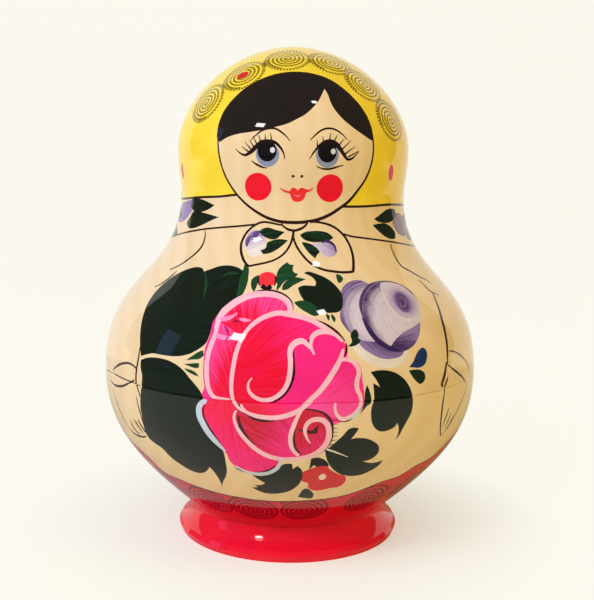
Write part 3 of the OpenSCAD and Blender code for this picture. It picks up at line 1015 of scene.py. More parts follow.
def paint_violet_rose(p):
    """The violet rose at the upper right, with its pale petals, a small leaf and two buds."""
    outer_petal = [
        (352, 345), (358, 355), (367, 362), (378, 367), (390, 368), (400, 365), (407, 358), (408.5, 350),
        (400, 345), (372, 338), (358, 338),
    ]
    p.fill(outer_petal, gouache(CREAM, PALE_LILAC, 0.7, whirl=(385, 325)))
    under_petal = [
        (357, 340), (372, 338), (390, 347), (405, 350), (402, 355), (390, 359), (380, 358), (370, 353),
        (362, 347),
    ]
    p.fill(under_petal, gouache(VIOLET, LILAC, 0.5, fade=((388, 344), (380, 358)), whirl=(388, 320)))
    back_petal = [
        (340.5, 293), (344, 286), (350, 281.5), (357, 280), (363, 281), (370, 285), (362, 300),
        (366, 322), (378, 341), (366, 341), (357, 338.5), (350, 333), (345, 327), (341, 321), (340, 315),
        (341.5, 305),
    ]
    p.fill(back_petal, gouache(MAUVE, PALE_LILAC, 0.5, fade=((340, 298), (354, 312)), whirl=(380, 318)))
    ball = [
        (359, 305), (360, 297), (364, 289), (369, 284), (376, 281.5), (392, 281.5), (403, 285.5),
        (412, 292), (418, 301), (420.5, 312), (420.5, 325), (418.5, 337), (414, 345), (407, 350),
        (400, 351.5), (391, 349.5), (382, 345), (374, 337), (367, 327), (362, 316),
    ]
    p.fill(ball, gouache(DUSKY_VIOLET, PALE_LILAC, 0.4, fade=((368, 322), (376, 322)), whirl=(406, 322)))
    crescent = [
        (420, 322), (413, 327), (404, 332), (397, 338), (391, 346), (400, 351.5), (407, 350), (414, 345),
        (418.5, 337),
    ]
    p.fill(crescent, gouache(VIOLET, LILAC, 0.6, fade=((406, 346), (406, 329)), fan=(380, 345)))
    ball_shade = [(363, 318), (368, 328), (375, 337.5), (383, 344.5), (392, 349), (401, 350.5)]
    p.line(ball_shade, (1.0, 2.4, 2.6, 2.4, 1.0), gouache(NIGHT, VIOLET, 0.5))
    cup = [
        (380, 283), (392, 282.5), (403, 286.5), (411, 293), (416.5, 302), (418, 312), (412, 318),
        (404, 319), (396, 314.5), (389, 306), (383, 295),
    ]
    eye = (403, 302)
    p.fill(cup, gouache(LILAC, PALE_LILAC, 0.4, fade=((396, 302), (386, 302)), whirl=eye))
    cup_edge = [(381, 286), (384, 296), (390, 307), (397, 315), (405, 319.5), (412, 318.5)]
    p.line(cup_edge, (0.5, 1.3, 1.5, 1.3, 0.6), gouache(PALE_LILAC, CREAM, 0.5), level=2)
    outer_eye = (402.5, 302)
    inner_eye = (402.8, 302.3)
    p.oval([outer_eye], (4.4, 5.6), gouache(MAUVE, LILAC, 0.4, whirl=eye), tilt=12)
    p.oval([inner_eye], (3.2, 4.4), gouache(VIOLET, LILAC, 0.5, whirl=eye), tilt=12)
    eye_curl = [(401, 297), (405, 300), (405, 306), (401, 306.5), (400, 302.5)]
    p.line(eye_curl, (0.4, 0.7, 0.6, 0.4), gouache(LILAC, VIOLET, 0.3), level=3)
    small_leaf = [
        (355.5, 329), (358.5, 334), (358, 338), (361, 340), (358, 344), (350, 346.5), (347, 346),
        (352, 341), (350.5, 336),
    ]
    p.fill(small_leaf, gouache(LEAF, FRESH_GREEN, 0.8))
    blue_bud = [
        (409, 367), (413, 362), (416, 355), (419, 350), (423, 347.5), (426.5, 351), (427, 358),
        (425, 364), (420, 367.5), (414, 367.5),
    ]
    dark_bud = [
        (409, 370.5), (415, 369.5), (421, 370), (425, 374), (425, 379), (420, 384), (415, 380),
        (411, 374.5),
    ]
    p.fill(dark_bud, gouache(LEAF, FRESH_GREEN, 0.5))
    p.fill(blue_bud, gouache(BLUE, PUPIL, 0.8, fan=(409, 367)))


def paint_right_leaves(p):
    """Dark leaves to the right of the rose and below it, and the small red flower."""
    right = [
        (370.5, 372), (377, 370.5), (388, 370.5), (398, 374), (406, 381), (411, 390), (413, 400),
        (411.5, 412), (407, 421), (402, 430), (398, 437), (395, 440), (398.5, 431), (397.5, 423),
        (395, 426.5), (390, 429.5), (383, 431.5), (377, 430), (372.5, 424), (371, 416), (371.5, 408),
        (374, 400), (374, 392), (373, 383), (380, 387), (375, 378),
    ]
    p.fill(right, leaf_paint((376, 384), 0.4))
    small = [
        (367, 385), (370, 392), (371.5, 399), (371, 403), (367, 406), (363, 411), (360, 415), (363, 407),
        (364.5, 400), (365, 392),
    ]
    p.fill(small, gouache(LEAF, FRESH_GREEN, 0.5))
    upper = [
        (325, 450), (331, 446), (337, 441), (343, 435.5), (350, 428.5), (359, 428.5), (356, 433),
        (351, 439), (363, 438), (373, 441), (379, 447), (378, 453), (371, 459), (363, 461), (375, 462.5),
        (383, 460), (378, 466), (370, 471), (360, 475), (350, 476), (340, 474), (332, 468), (327, 460),
    ]
    p.fill(upper, leaf_paint((327, 452), 0.35))
    vein = [(323, 448), (335, 452), (348, 457)]
    p.line(vein, (0.9, 0.8, 0.2), gouache(CREAM), level=2)
    stalk = [(311, 459), (316, 457.5), (325, 460), (329, 466), (320, 468), (314, 465), (309, 470)]
    p.fill(stalk, gouache(LEAF))
    flower = [
        (303, 472), (309, 469.5), (316, 467), (325, 466), (331, 470), (338, 474), (345, 476), (344, 483),
        (338, 487), (330, 488), (322, 490), (314, 490.5), (308, 487), (308, 483.5), (302, 481),
    ]
    p.fill(flower, gouache(FLOWER_RED, BERRY, 0.4, fan=(322, 477)))
    flower_eye = (322.5, 477)
    p.oval([flower_eye], (1.7, 2.1), gouache(CREAM, PALE_PINK, 0.4))
    bottom = [
        (251, 474), (256, 475.5), (270, 474), (278, 470), (283, 464.5), (292, 464), (293, 469),
        (297, 466), (301, 469), (302.5, 475), (301, 481), (296, 487), (288, 491.5), (278, 493.5),
        (268, 493.5), (260, 491.5), (255, 489), (251.5, 487.5), (258, 487), (254, 484.5), (260, 485),
        (265, 483), (258, 479),
    ]
    p.fill(bottom, leaf_paint((300, 470), 0.35))
    low_leaf = [
        (298, 497), (301, 492), (304, 489), (307, 488.5), (311, 491), (313.5, 495), (311, 498.5),
        (304, 498),
    ]
    p.fill(low_leaf, gouache(LEAF, FRESH_GREEN, 0.3))


def paint_doll(chart, detail, bold):
    """The whole painting, in the order in which it is painted."""
    p = Painting(chart, detail, bold)
    paint_base(p)
    paint_scarf(p)
    paint_face(p)
    paint_collar(p)
    paint_arms(p)
    paint_left_leaves(p)
    paint_bow(p)
    paint_violet_rose(p)
    paint_right_leaves(p)
    paint_buds_above(p)
    paint_rose(p)
    return p


class Skin:
    """The painted outside of a doll as triangles on the disc, with the paint of every corner."""

    def __init__(self, painting):
        self.chart = painting.chart
        self.detail = painting.detail
        self.mesh_disc(painting)
        self.assign(painting)
        self.mix_paints(painting)

    def rings(self):
        """Circles of the disc that stay edges of the mesh: the turned corners and the rim of the base."""
        spots = list(self.chart.outline.corners) + [self.chart.outline.s[-1]]
        return [float(self.chart.rho(s)) for s in spots]

    def mesh_disc(self, painting):
        """Cuts the disc into triangles along every painted edge and turned corner."""
        loops = [c for shape in painting.shapes for c in shape["contours"]]
        count = RING_POINTS[self.detail]
        turn = np.linspace(0, 2 * math.pi, count, endpoint=False)
        rim = self.chart.edge * RIM_INSET
        loops = [loop[np.hypot(*loop.T) < rim] for loop in loops if not self.beyond(loop)]
        loops += [rho * np.column_stack((np.sin(turn), np.cos(turn))) for rho in self.rings()]
        loops = [loop for loop in loops if len(loop) > 2]
        fixed = np.vstack(loops)
        edges = []
        start = 0
        for loop in loops:
            index = np.arange(start, start + len(loop))
            edges.extend(zip(index.tolist(), np.roll(index, -1).tolist()))
            start += len(loop)
        points = np.vstack((fixed, self.clear_grid(fixed)))
        made = delaunay_2d_cdt([Vector(xy) for xy in points], edges, [], 0, MERGE_TOL, False)
        self.xy = np.array([tuple(v) for v in made[0]])
        tris = np.array([f for f in made[2] if len(f) == 3])
        a, b, c = (self.xy[tris[:, i]] for i in range(3))
        area = (b[:, 0] - a[:, 0]) * (c[:, 1] - a[:, 1]) - (b[:, 1] - a[:, 1]) * (c[:, 0] - a[:, 0])
        tris[area < 0] = tris[area < 0][:, ::-1]
        self.tris = tris[np.abs(area) > TINY]
        self.middle = self.xy[self.tris].mean(axis=1)

    def ring_length(self, xy):
        """Lengths along the outline for points of the disc, by the straight sides of its rings."""
        step = 2 * math.pi / RING_POINTS[self.detail]
        past = np.arctan2(xy[:, 0], xy[:, 1]) % step
        swell = np.cos(past - step / 2) / math.cos(step / 2)
        return self.chart.length(xy * swell[:, None])

    def beyond(self, loop):
        """Whether a contour runs wholly outside the disc."""
        return (np.hypot(*loop.T) > self.chart.edge).all()

    def clear_grid(self, fixed):
        """Points that fill the disc evenly, clear of the painted edges."""
        step = GRID_MM[self.detail]
        tree = KDTree(len(fixed))
        for i, (x, y) in enumerate(fixed):
            tree.insert((x, y, 0), i)
        tree.balance()
        found = [(0.0, 0.0)]
        total = self.chart.outline.s[-1]
        for row, s in enumerate(np.arange(step, total - step / 2, step)):
            r = self.chart.outline.at([s])[0, 0]
            rho = float(self.chart.rho(s))
            count = max(6, int(round(2 * math.pi * r / step)))
            for i in range(count):
                turn = 2 * math.pi * (i + 0.5 * (row % 2)) / count
                x = rho * math.sin(turn)
                y = rho * math.cos(turn)
                if tree.find((x, y, 0))[2] > CLEAR_SHARE * step * rho / r:
                    found.append((x, y))
        return np.array(found)

    def assign(self, painting):
        """Gives each triangle the last shape painted over it."""
        self.owner = np.full(len(self.tris), -1)
        x, y = self.middle.T
        for number, shape in enumerate(painting.shapes):
            low = np.min([c.min(axis=0) for c in shape["contours"]], axis=0)
            high = np.max([c.max(axis=0) for c in shape["contours"]], axis=0)
            near = np.flatnonzero((x > low[0]) & (x < high[0]) & (y > low[1]) & (y < high[1]))
            hit = near[inside(self.middle[near], shape["contours"])]
            if shape["within"] is not None:
                hit = hit[inside(self.middle[hit], shape["within"])]
            self.owner[hit] = number

    def mix_paints(self, painting):
        """Works out the paint at every corner of every triangle."""
        corners = self.xy[self.tris]
        self.tone = np.ones((len(self.tris), 3, 4))
        self.tint = np.ones((len(self.tris), 3, 4))
        self.brush = np.zeros((len(self.tris), 3, 3))
        self.wood = self.owner < 0
        for number in np.unique(self.owner[self.owner >= 0]):
            shape = painting.shapes[number]
            paint = shape["paint"]
            faces = np.flatnonzero(self.owner == number)
            if paint["wood"]:
                self.wood[faces] = True
                continue
            points = corners[faces].reshape(-1, 2)
            self.tone[faces, :, :3] = paint["tone"]
            self.tint[faces, :, :3] = paint["tint"]
            self.tone[faces, :, 3] = fade_share(shape, points).reshape(-1, 3)
            self.tint[faces, :, 3] = paint["streak"]
            self.brush[faces] = brush_marks(shape, points, self.chart).reshape(-1, 3, 3)


def fade_share(shape, points):
    """How far each point lies along its shape's fade, from 0 to 1."""
    if shape["fade"] is None:
        return np.full(len(points), PLAIN_SHARE)
    start, end = shape["fade"]
    if shape["paint"]["whirl"]:
        first, last = np.hypot(*(shape["fade"] - shape["fan"]).T)
        return np.clip((np.hypot(*(points - shape["fan"]).T) - first) / (last - first), 0, 1)
    way = end - start
    return np.clip((points - start) @ way / (way @ way), 0, 1)


def brush_marks(shape, points, chart):
    """Places along and across the brush strokes, in mm, with a number of the shape's own."""
    scale = chart.scale(points).mean()
    if shape["line"] is not None:
        centre, run, side = shape["line"]
        nearest = np.empty(len(points), int)
        for start in range(0, len(points), CHUNK):
            away = points[start : start + CHUNK, None] - centre[None]
            nearest[start : start + CHUNK] = (away**2).sum(axis=2).argmin(axis=1)
        along = run[nearest]
        across = ((points - centre[nearest]) * side[nearest]).sum(axis=1) / scale
    elif shape["fan"] is not None:
        away = points - shape["fan"]
        along = np.hypot(*away.T) / scale
        across = np.arctan2(away[:, 1], away[:, 0]) * along.mean()
        if shape["paint"]["whirl"]:
            along, across = across, along
    else:
        along, across = points.T / scale
    return np.column_stack((along, across, np.full(len(points), shape["seed"] * SEED_STEP)))


def zip_rings(upper, lower):
    """Triangles between two rings, each given as (angles, point numbers) in rising order of angle."""
    upper_turn, upper_at = upper
    lower_turn, lower_at = lower
    tris = []
    i = 0
    j = 0
    while i < len(upper_at) or j < len(lower_at):
        next_upper = upper_turn[i + 1] if i + 1 < len(upper_at) else upper_turn[0] + 2 * math.pi
        next_lower = lower_turn[j + 1] if j + 1 < len(lower_at) else lower_turn[0] + 2 * math.pi
        a = upper_at[i % len(upper_at)]
        b = lower_at[j % len(lower_at)]
        if j >= len(lower_at) or (i < len(upper_at) and next_upper <= next_lower):
            tris.append((a, b, upper_at[(i + 1) % len(upper_at)]))
            i += 1
        else:
            tris.append((a, b, lower_at[(j + 1) % len(lower_at)]))
            j += 1
    return tris


class Shell:
    """The mesh of one piece, gathered from its painted outside and its turned inside."""

    def __init__(self, skin, size, lift):
        self.skin = skin
        self.size = size
        self.lift = lift
        self.points = []
        self.normals = []
        self.tris = []
        self.parts = []
        self.tone = []
        self.tint = []
        self.brush = []

    def stand(self, turn, rz):
        """Points in mm at turns from the front, from (r, z)."""
        return np.column_stack((rz[:, 0] * np.sin(turn), -rz[:, 0] * np.cos(turn), rz[:, 1]))

    def add_points(self, points):
        """Numbers of new points."""
        start = sum(len(p) for p in self.points)
        self.points.append(points)
        return np.arange(start, start + len(points))

    def add_outside(self, low, high):
        """Adds the painted outside between two lengths along the outline, and returns its points' places."""
        skin = self.skin
        outline = skin.chart.outline
        middle = skin.ring_length(skin.middle)
        faces = np.flatnonzero((middle > low) & (middle < high))
        used, tris = np.unique(skin.tris[faces], return_inverse=True)
        tris = tris.reshape(-1, 3)
        xy = skin.xy[used]
        s = skin.ring_length(xy)
        turn = np.arctan2(xy[:, 0], -xy[:, 1])
        rz = outline.at(s) * self.size + (0, self.lift)
        numbers = self.add_points(self.stand(turn, rz))
        towards = NUDGE * (middle[faces][:, None] - s[tris])
        normal = outline.normal((s[tris] + towards).ravel())
        self.normals.append(self.stand(turn[tris].ravel(), normal))
        self.tris.append(numbers[tris])
        self.parts.append(np.where(skin.wood[faces], LACQUERED, PAINTED))
        self.tone.append(skin.tone[faces])
        self.tint.append(skin.tint[faces])
        self.brush.append(skin.brush[faces] * (self.size, self.size, 1))
        return s, turn, numbers

    def loop_at(self, outside, s):
        """The ring of outside points at a length along the outline, in rising order of angle."""
        places, turn, numbers = outside
        found = np.flatnonzero(np.abs(places - s) < LOOP_TOL * self.skin.chart.outline.s[-1])
        found = found[np.argsort(turn[found])]
        return turn[found], numbers[found]

    def add_turned(self, rings, first=None, last=None):
        """Adds bare turned wood along rings of (r, z), joined to loops of points where these are given."""
        outline = Outline(rings)
        spots = np.unique(np.concatenate([outline.knots, (outline.knots[:-1] + outline.knots[1:]) / 2]))
        count = RING_POINTS[self.skin.detail]
        turn = np.linspace(-math.pi, math.pi, count, endpoint=False)
        loops = []
        for s in spots:
            rz = outline.at([s])
            if first is not None and s == spots[0]:
                loops.append(first)
            elif last is not None and s == spots[-1]:
                loops.append(last)
            elif rz[0, 0] < RING_TOL:
                loops.append((turn[:1], self.add_points(self.stand(turn[:1], rz))))
            else:
                loops.append((turn, self.add_points(self.stand(turn, np.repeat(rz, count, axis=0)))))
        for here, there, s0, s1 in zip(loops, loops[1:], spots, spots[1:]):
            self.add_strip(outline, here, there, s0, s1)

    def add_strip(self, outline, here, there, s0, s1):
        """Adds the band between two loops of points."""
        if len(here[1]) == 1:
            lone, rim = here[1][0], there
            tris = np.column_stack((np.full(len(rim[1]), lone), rim[1], np.roll(rim[1], -1)))
        elif len(there[1]) == 1:
            lone, rim = there[1][0], here
            tris = np.column_stack((rim[1], np.full(len(rim[1]), lone), np.roll(rim[1], -1)))
        else:
            lone = None
            tris = np.array(zip_rings(here, there))
        turns = dict(zip(here[1].tolist(), here[0])) | dict(zip(there[1].tolist(), there[0]))
        turn = np.array([turns[v] for v in tris.ravel().tolist()])
        if lone is not None:
            turn = np.where(tris.ravel() == lone, np.repeat(rim[0], 3), turn)
        early = np.isin(tris.ravel(), here[1])
        nudge = NUDGE * (s1 - s0)
        normal = outline.normal(np.where(early, s0 + nudge, s1 - nudge))
        self.normals.append(self.stand(turn, normal))
        self.tris.append(tris)
        self.parts.append(np.full(len(tris), TURNED))
        self.tone.append(np.ones((len(tris), 3, 4)))
        self.tint.append(np.ones((len(tris), 3, 4)))
        self.brush.append(np.zeros((len(tris), 3, 3)))

    def make(self, name, materials):
        """The finished piece, with its paint as attributes of its corners."""
        points = np.vstack(self.points) * MM
        tris = np.vstack(self.tris)
        mesh = bpy.data.meshes.new(name)
        mesh.vertices.add(len(points))
        mesh.vertices.foreach_set("co", points.astype(np.float32).ravel())
        mesh.loops.add(tris.size)
        mesh.loops.foreach_set("vertex_index", tris.astype(np.int32).ravel())
        mesh.polygons.add(len(tris))
        mesh.polygons.foreach_set("loop_start", np.arange(0, tris.size, 3, dtype=np.int32))
        mesh.polygons.foreach_set("material_index", np.concatenate(self.parts).astype(np.int32))
        for layer, kind, slot, values in (
            ("tone", "FLOAT_COLOR", "color", self.tone),
            ("tint", "FLOAT_COLOR", "color", self.tint),
            ("brush", "FLOAT_VECTOR", "vector", self.brush),
        ):
            made = mesh.attributes.new(layer, kind, "CORNER")
            made.data.foreach_set(slot, np.vstack(values).astype(np.float32).ravel())
        for material in materials:
            mesh.materials.append(material)
        mesh.update(calc_edges=True)
        mesh.validate()
        mesh.polygons.foreach_set("use_smooth", np.ones(len(mesh.polygons), bool))
        normals = np.vstack(self.normals)
        mesh.normals_split_custom_set(normals[: len(mesh.loops)].tolist())
        piece = bpy.data.objects.new(name, mesh)
        bpy.context.scene.collection.objects.link(piece)
        return piece


class Nodes:
    """Adds nodes to a shader tree and links them."""

    def __init__(self, tree):
        self.tree = tree

    def feed(self, node, inputs):
        """Links a node's inputs to the sockets given for them, or sets them to the values given."""
        for key, value in inputs.items():
            if isinstance(value, bpy.types.NodeSocket):
                self.tree.links.new(value, node.inputs[key])
            else:
                node.inputs[key].default_value = value

    def add(self, kind, inputs=None, **settings):
        """A node of a kind, with its settings and inputs."""
        node = self.tree.nodes.new("ShaderNode" + kind)
        for key, value in settings.items():
            setattr(node, key, value)
        self.feed(node, inputs or {})
        return node

    def place(self):
        """Places on the object itself."""
        return self.add("TexCoord").outputs["Object"]

    def maths(self, operation, first, second, clamp=False):
        """The result of an operation on two numbers."""
        return self.add("Math", {0: first, 1: second}, operation=operation, use_clamp=clamp).outputs[0]

    def vectors(self, operation, first, second):
        """The result of an operation on two vectors."""
        return self.add("VectorMath", {0: first, 1: second}, operation=operation).outputs[0]

    def ranged(self, value, to, given=(0.0, 1.0)):
        """A number carried over from a given range to another."""
        ends = {"From Min": given[0], "From Max": given[1], "To Min": to[0], "To Max": to[1]}
        return self.add("MapRange", {"Value": value, **ends}).outputs[0]

    def noise(self, vector, scale, detail, roughness=0.5):
        """Soft noise, from 0 to 1."""
        inputs = {"Vector": vector, "Scale": scale, "Detail": detail, "Roughness": roughness}
        return self.add("TexNoise", inputs).outputs["Fac"]

    def shades(self, share, shades):
        """A colour between two shades."""
        ramp = self.add("ValToRGB", {"Fac": share})
        for element, shade in zip(ramp.color_ramp.elements, shades):
            element.color = (*shade, 1)
        return ramp.outputs[0]

    def relief(self, height, strength):
        """Normals that a fine relief tilts."""
        return self.add("Bump", {"Height": height, "Strength": strength, "Distance": RELIEF}).outputs[0]

    def glow(self, tint):
        """A shader that glows evenly."""
        return self.add("Emission", {"Color": (*tint, 1), "Strength": 1.0}).outputs[0]

    def blend(self, share, first, second):
        """A blend of two shaders."""
        return self.add("MixShader", {0: share, 1: first, 2: second}).outputs[0]


def new_material(name):
    """A material, its nodes and its shader."""
    material = bpy.data.materials.new(name)
    material.use_nodes = True
    tree = material.node_tree
    return material, Nodes(tree), tree.nodes["Principled BSDF"]


# Depth of brush marks and turning rings, in metres
RELIEF = 0.00012
# The clear gloss coat over paint and wood
LACQUER = {"Coat Weight": 1.0, "Coat Roughness": 0.045, "Coat IOR": 1.5, "Specular IOR Level": 0.0}
# Streaks of paint to a millimetre along and across the brush's way
STREAKS = (0.07, 1.15, 1.0)
# The heart of the lime log, beside the turning axis, and how much wood's bands and grain draw out along it
HEARTWOOD = (0.045, -0.03, 0.0)
BAND_STRETCH = (1.0, 1.0, 0.06)
GRAIN_STRETCH = (1.0, 1.0, 0.05)


def paint_material():
    """Gouache whose colours come from the painting, with brush streaks, under lacquer."""
    material, nodes, shader = new_material("gouache_under_lacquer")
    tone = nodes.add("Attribute", attribute_name="tone").outputs
    tint = nodes.add("Attribute", attribute_name="tint").outputs
    brush = nodes.add("Attribute", attribute_name="brush").outputs
    strokes = nodes.vectors("MULTIPLY", brush["Vector"], STREAKS)
    streaks = nodes.noise(strokes, scale=1.0, detail=3.0, roughness=0.6)
    swing = nodes.ranged(streaks, to=(-0.5, 0.5), given=(0.3, 0.7))
    pull = nodes.maths("MULTIPLY", swing, tint["Alpha"])
    share = nodes.maths("ADD", pull, tone["Alpha"], clamp=True)
    mixed = nodes.add("Mix", {0: share, "A": tone["Color"], "B": tint["Color"]}, data_type="RGBA").outputs[2]
    cloud = nodes.ranged(nodes.noise(nodes.place(), scale=95.0, detail=2.0), to=(0.9, 1.1))
    clouded = nodes.add("HueSaturation", {"Color": mixed, "Value": cloud}).outputs[0]
    roughness = nodes.ranged(streaks, to=(0.34, 0.5))
    normal = nodes.relief(streaks, strength=0.25)
    nodes.feed(shader, {"Base Color": clouded, "Roughness": roughness, "Normal": normal})
    nodes.feed(shader, LACQUER)
    return material


def wood_colour(nodes, shades, contrast):
    """Lime wood: faint growth bands round an off-centre heart, and fine grain along the turning axis."""
    place = nodes.place()
    apart = nodes.vectors("SUBTRACT", place, HEARTWOOD)
    drawn = nodes.vectors("MULTIPLY", apart, BAND_STRETCH)
    bands = nodes.add(
        "TexWave",
        {"Vector": drawn, "Scale": 38.0, "Distortion": 2.2, "Detail": 2.0, "Detail Scale": 1.4},
        wave_type="RINGS",
        rings_direction="Z",
    )
    fibres = nodes.vectors("MULTIPLY", place, GRAIN_STRETCH)
    grain = nodes.noise(fibres, scale=420.0, detail=4.0, roughness=0.65)
    both = nodes.maths("ADD", bands.outputs["Fac"], grain)
    share = nodes.ranged(both, to=(0.5 - contrast, 0.5 + contrast), given=(0.4, 1.7))
    return nodes.shades(share, shades), grain


def lacquered_wood():
    """Bare lime wood under lacquer, which warms it."""
    material, nodes, shader = new_material("lacquered_lime_wood")
    tint, grain = wood_colour(nodes, LACQUERED_WOOD, contrast=0.13)
    nodes.feed(shader, {"Base Color": tint, "Roughness": nodes.ranged(grain, to=(0.34, 0.48))})
    nodes.feed(shader, LACQUER)
    return material


def turned_wood():
    """Bare lime wood as the lathe left it, with fine turning rings."""
    material, nodes, shader = new_material("bare_turned_lime_wood")
    tint, grain = wood_colour(nodes, BARE_LIME, contrast=0.45)
    rings = nodes.add(
        "TexWave",
        {"Vector": nodes.place(), "Scale": 260.0, "Distortion": 0.6, "Detail": 1.0},
        wave_type="BANDS",
        bands_direction="Z",
    )
    roughness = nodes.ranged(grain, to=(0.5, 0.72))
    normal = nodes.relief(rings.outputs["Fac"], strength=0.3)
    nodes.feed(shader, {"Base Color": tint, "Roughness": roughness, "Normal": normal})
    return material


def node_name(number, half):
    """Name of the CAD node of a doll's half."""
    return f"doll_{number:02d}_{half}"


def rim_index(path, seam):
    """Where an outline passes the outer rim of the seam."""
    level = np.abs(path[:, 1] - seam) < RING_TOL
    return int(np.where(level, path[:, 0], -1).argmax())


def outside_rings(number):
    """Rings of a doll's outside from its crown to the edge of its base, where its seam lies among them, and
    the rings of its halves."""
    if number == DOLLS:
        path = section(f"doll_{number:02d}")
        return path[:-1], None, (path, None)
    top = section(node_name(number, "top"))
    bottom = section(node_name(number, "bottom"))
    seam = top[:, 1].min()
    top_rim = rim_index(top, seam)
    bottom_rim = rim_index(bottom, seam)
    return np.vstack((top[: top_rim + 1], bottom[bottom_rim + 1 : -1])), top_rim, (top, bottom)


def finish_piece(shell, name, node, materials):
    """Makes a piece, in the place of its CAD node and on its body."""
    piece = shell.make(name, materials)
    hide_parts(node)
    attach(piece, node)


def build_doll(number, skin, height, materials):
    """The painted pieces of one doll, from its run's painted skin."""
    rings, seam, (top, bottom) = outside_rings(number)
    size = (rings[0, 1] - rings[-1, 1]) / height
    lift = rings[-1, 1]
    outline = skin.chart.outline
    last = outline.s[-1]
    base = np.array((rings[-1], (0.0, lift)))
    if seam is None:
        shell = Shell(skin, size, lift)
        outside = shell.add_outside(0, last)
        shell.add_turned(base, first=shell.loop_at(outside, last))
        finish_piece(shell, "painted_doll_10", "doll_10", materials)
        return
    split = outline.knots[seam]
    upper = Shell(skin, size, lift)
    outside = upper.add_outside(0, split)
    upper.add_turned(top[seam:], first=upper.loop_at(outside, split))
    name = node_name(number, "top")
    finish_piece(upper, "painted_" + name, name, materials)
    lower = Shell(skin, size, lift)
    outside = lower.add_outside(split, last)
    lower.add_turned(base, first=lower.loop_at(outside, last))
    rim = rim_index(bottom, rings[seam, 1])
    lower.add_turned(bottom[: rim + 1], last=lower.loop_at(outside, split))
    name = node_name(number, "bottom")
    finish_piece(lower, "painted_" + name, name, materials)


def build_dolls():
    """All ten dolls, a run of like paintings at a time."""
    materials = [paint_material(), lacquered_wood(), turned_wood()]
    rings = outside_rings(1)[0]
    height = rings[0, 1] - rings[-1, 1]
    for first, last, detail, bold in RUNS:
        rings = outside_rings(first)[0]
        size = (rings[0, 1] - rings[-1, 1]) / height
        chart = Chart(Outline((rings - (0, rings[-1, 1])) / size))
        skin = Skin(paint_doll(chart, detail, bold))
        for number in range(first, last + 1):
            build_doll(number, skin, height, materials)


# The floor sweep, in metres: its half width, where it starts and bends, its bend and its top
FLOOR_HALF_W = 3.0
FLOOR_FRONT = -2.5
BEND_START = 1.1
BEND_R = 0.7
BEND_STEPS = 16
BACKDROP_TOP = 2.6
# How bright the backdrop looks, and the floor that the lacquer mirrors in front of the doll
BACKDROP_GLOW = 0.94
MIRRORED_FLOOR = (0.05, 0.04, 0.03)


def paper_material():
    """Pale paper that glows to the camera but for the doll's shadow, and that the lacquer mirrors darkly."""
    material, nodes, shader = new_material("pale_paper")
    place = nodes.place()
    fibre = nodes.noise(place, scale=300.0, detail=3.0)
    nodes.feed(shader, {"Base Color": nodes.shades(fibre, PAPER), "Roughness": 0.55})
    path = nodes.add("LightPath").outputs
    mirror = path["Is Glossy Ray"]
    depth = nodes.add("SeparateXYZ", {0: place}).outputs["Y"]
    ahead = nodes.ranged(depth, to=(0.0, 1.0), given=(0.5, 0.1))
    behind = nodes.maths("SUBTRACT", mirror, ahead, clamp=True)
    lit = nodes.maths("MAXIMUM", path["Is Camera Ray"], behind)
    away = nodes.add("VectorMath", {0: place}, operation="LENGTH").outputs["Value"]
    open_floor = nodes.ranged(away, to=(0.5, BACKDROP_GLOW), given=(0.06, 0.15))
    share = nodes.maths("MULTIPLY", lit, open_floor)
    seen = nodes.blend(share, shader.outputs[0], nodes.glow(BACKDROP))
    edge = nodes.ranged(away, to=(0.35, 0.85), given=(0.46, 0.54))
    front = nodes.maths("MULTIPLY", edge, ahead)
    dim = nodes.maths("MULTIPLY", front, mirror)
    mixed = nodes.blend(dim, seen, nodes.glow(MIRRORED_FLOOR))
    nodes.feed(nodes.tree.nodes["Material Output"], {"Surface": mixed})
    return material


def make_floor():
    """A pale floor that sweeps up behind the doll into a backdrop."""
    line = [(FLOOR_FRONT, 0.0), (BEND_START, 0.0)]
    for i in range(1, BEND_STEPS + 1):
        turn = math.pi / 2 * i / BEND_STEPS
        line.append((BEND_START + BEND_R * math.sin(turn), BEND_R * (1 - math.cos(turn))))
    line.append((BEND_START + BEND_R, BACKDROP_TOP))
    points = [(x, y, z) for y, z in line for x in (-FLOOR_HALF_W, FLOOR_HALF_W)]
    faces = [(2 * i, 2 * i + 1, 2 * i + 3, 2 * i + 2) for i in range(len(line) - 1)]
    mesh = bpy.data.meshes.new("floor_sweep")
    mesh.from_pydata(points, [], faces)
    mesh.polygons.foreach_set("use_smooth", [True] * len(faces))
    floor = bpy.data.objects.new("floor_sweep", mesh)
    bpy.context.scene.collection.objects.link(floor)
    mesh.materials.append(paper_material())


# Where every lamp looks, in metres
LAMP_TARGET = Vector((0, 0, 0.125))
# Broad lamps, which give soft light and no glint: name, azimuth and elevation in degrees, distance and sides
# in metres, watts and colour
SOFT_LAMPS = (
    ("left_softbox", -40, 38, 1.7, (1.0, 1.0), 34.5, (0.45, 0.55, 1.0)),
    ("left_sky", -88, 22, 1.7, (1.0, 1.0), 6.8, (0.5, 0.57, 1.0)),
    ("right_softbox", 65, 30, 1.7, (1.0, 1.0), 9.0, (1.0, 0.81, 0.22)),
)
# Small windows, which show as glints in the lacquer
WINDOWS = (
    ("left_window", -36, 37, 1.5, (0.20, 0.18), 2.7, (1.0, 0.98, 0.95)),
    ("high_window", 33, 62, 1.5, (0.10, 0.09), 0.8, (1.0, 0.98, 0.95)),
    ("side_window", -80, 14, 1.6, (0.34, 0.66), 0.55, (0.22, 0.45, 1.0)),
)
# Even light from all round: its colour, and its strength on the doll and in the lacquer's reflections
EVEN_LIGHT = (1.0, 0.92, 0.68)
EVEN_STRENGTH = (0.22, 0.14)


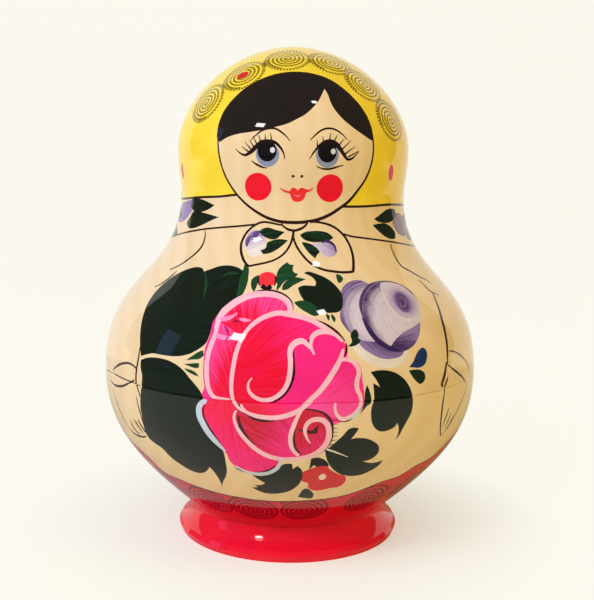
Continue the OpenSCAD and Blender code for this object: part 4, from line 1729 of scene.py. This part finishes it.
def make_lamp(name, azimuth, elevation, distance, size, power, tint, mirrored):
    """A lamp that looks at the doll's middle. A mirrored one shows as a glint in the lacquer."""
    a = math.radians(azimuth)
    e = math.radians(elevation)
    way = Vector((math.sin(a) * math.cos(e), -math.cos(a) * math.cos(e), math.sin(e)))
    data = bpy.data.lights.new(name, "AREA")
    data.shape = "RECTANGLE"
    data.size, data.size_y = size
    data.energy = power
    data.color = tint
    lamp = bpy.data.objects.new(name, data)
    lamp.location = LAMP_TARGET + way * distance
    lamp.rotation_mode = "QUATERNION"
    lamp.rotation_quaternion = way.to_track_quat("Z", "Y")
    lamp.visible_glossy = mirrored
    bpy.context.scene.collection.objects.link(lamp)


def make_lights():
    """Cool soft light from the left, warm from the right and all round, small windows and a pale backdrop."""
    for lamp in SOFT_LAMPS:
        make_lamp(*lamp, mirrored=False)
    for lamp in WINDOWS:
        make_lamp(*lamp, mirrored=True)
    world = bpy.data.worlds.new("even_light")
    world.use_nodes = True
    tree = world.node_tree
    nodes = Nodes(tree)
    path = nodes.add("LightPath").outputs
    even = tree.nodes["Background"]
    strength = nodes.ranged(path["Is Glossy Ray"], to=EVEN_STRENGTH)
    nodes.feed(even, {"Color": (*EVEN_LIGHT, 1), "Strength": strength})
    backdrop = nodes.add("Background", {"Color": (*BACKDROP, 1), "Strength": BACKDROP_GLOW})
    seen = nodes.blend(path["Is Camera Ray"], even.outputs[0], backdrop.outputs[0])
    nodes.feed(tree.nodes["World Output"], {"Surface": seen})
    bpy.context.scene.world = world


def make_camera():
    """The camera that was fitted to the photograph."""
    data = bpy.data.cameras.new("camera")
    data.sensor_width = SENSOR_MM
    data.lens = FOCAL_PX * SENSOR_MM / PHOTO_H
    data.shift_x = SHIFT_PX / PHOTO_H
    camera = bpy.data.objects.new("camera", data)
    tilt = Matrix.Rotation(math.pi / 2 - PITCH, 4, "X") @ Matrix.Rotation(ROLL, 4, "Z")
    camera.matrix_world = Matrix.Translation(Vector(EYE_MM * MM)) @ tilt
    bpy.context.scene.collection.objects.link(camera)
    bpy.context.scene.camera = camera


make_camera()
build_dolls()
make_floor()
make_lights()
bpy.context.scene.view_settings.view_transform = "Standard"
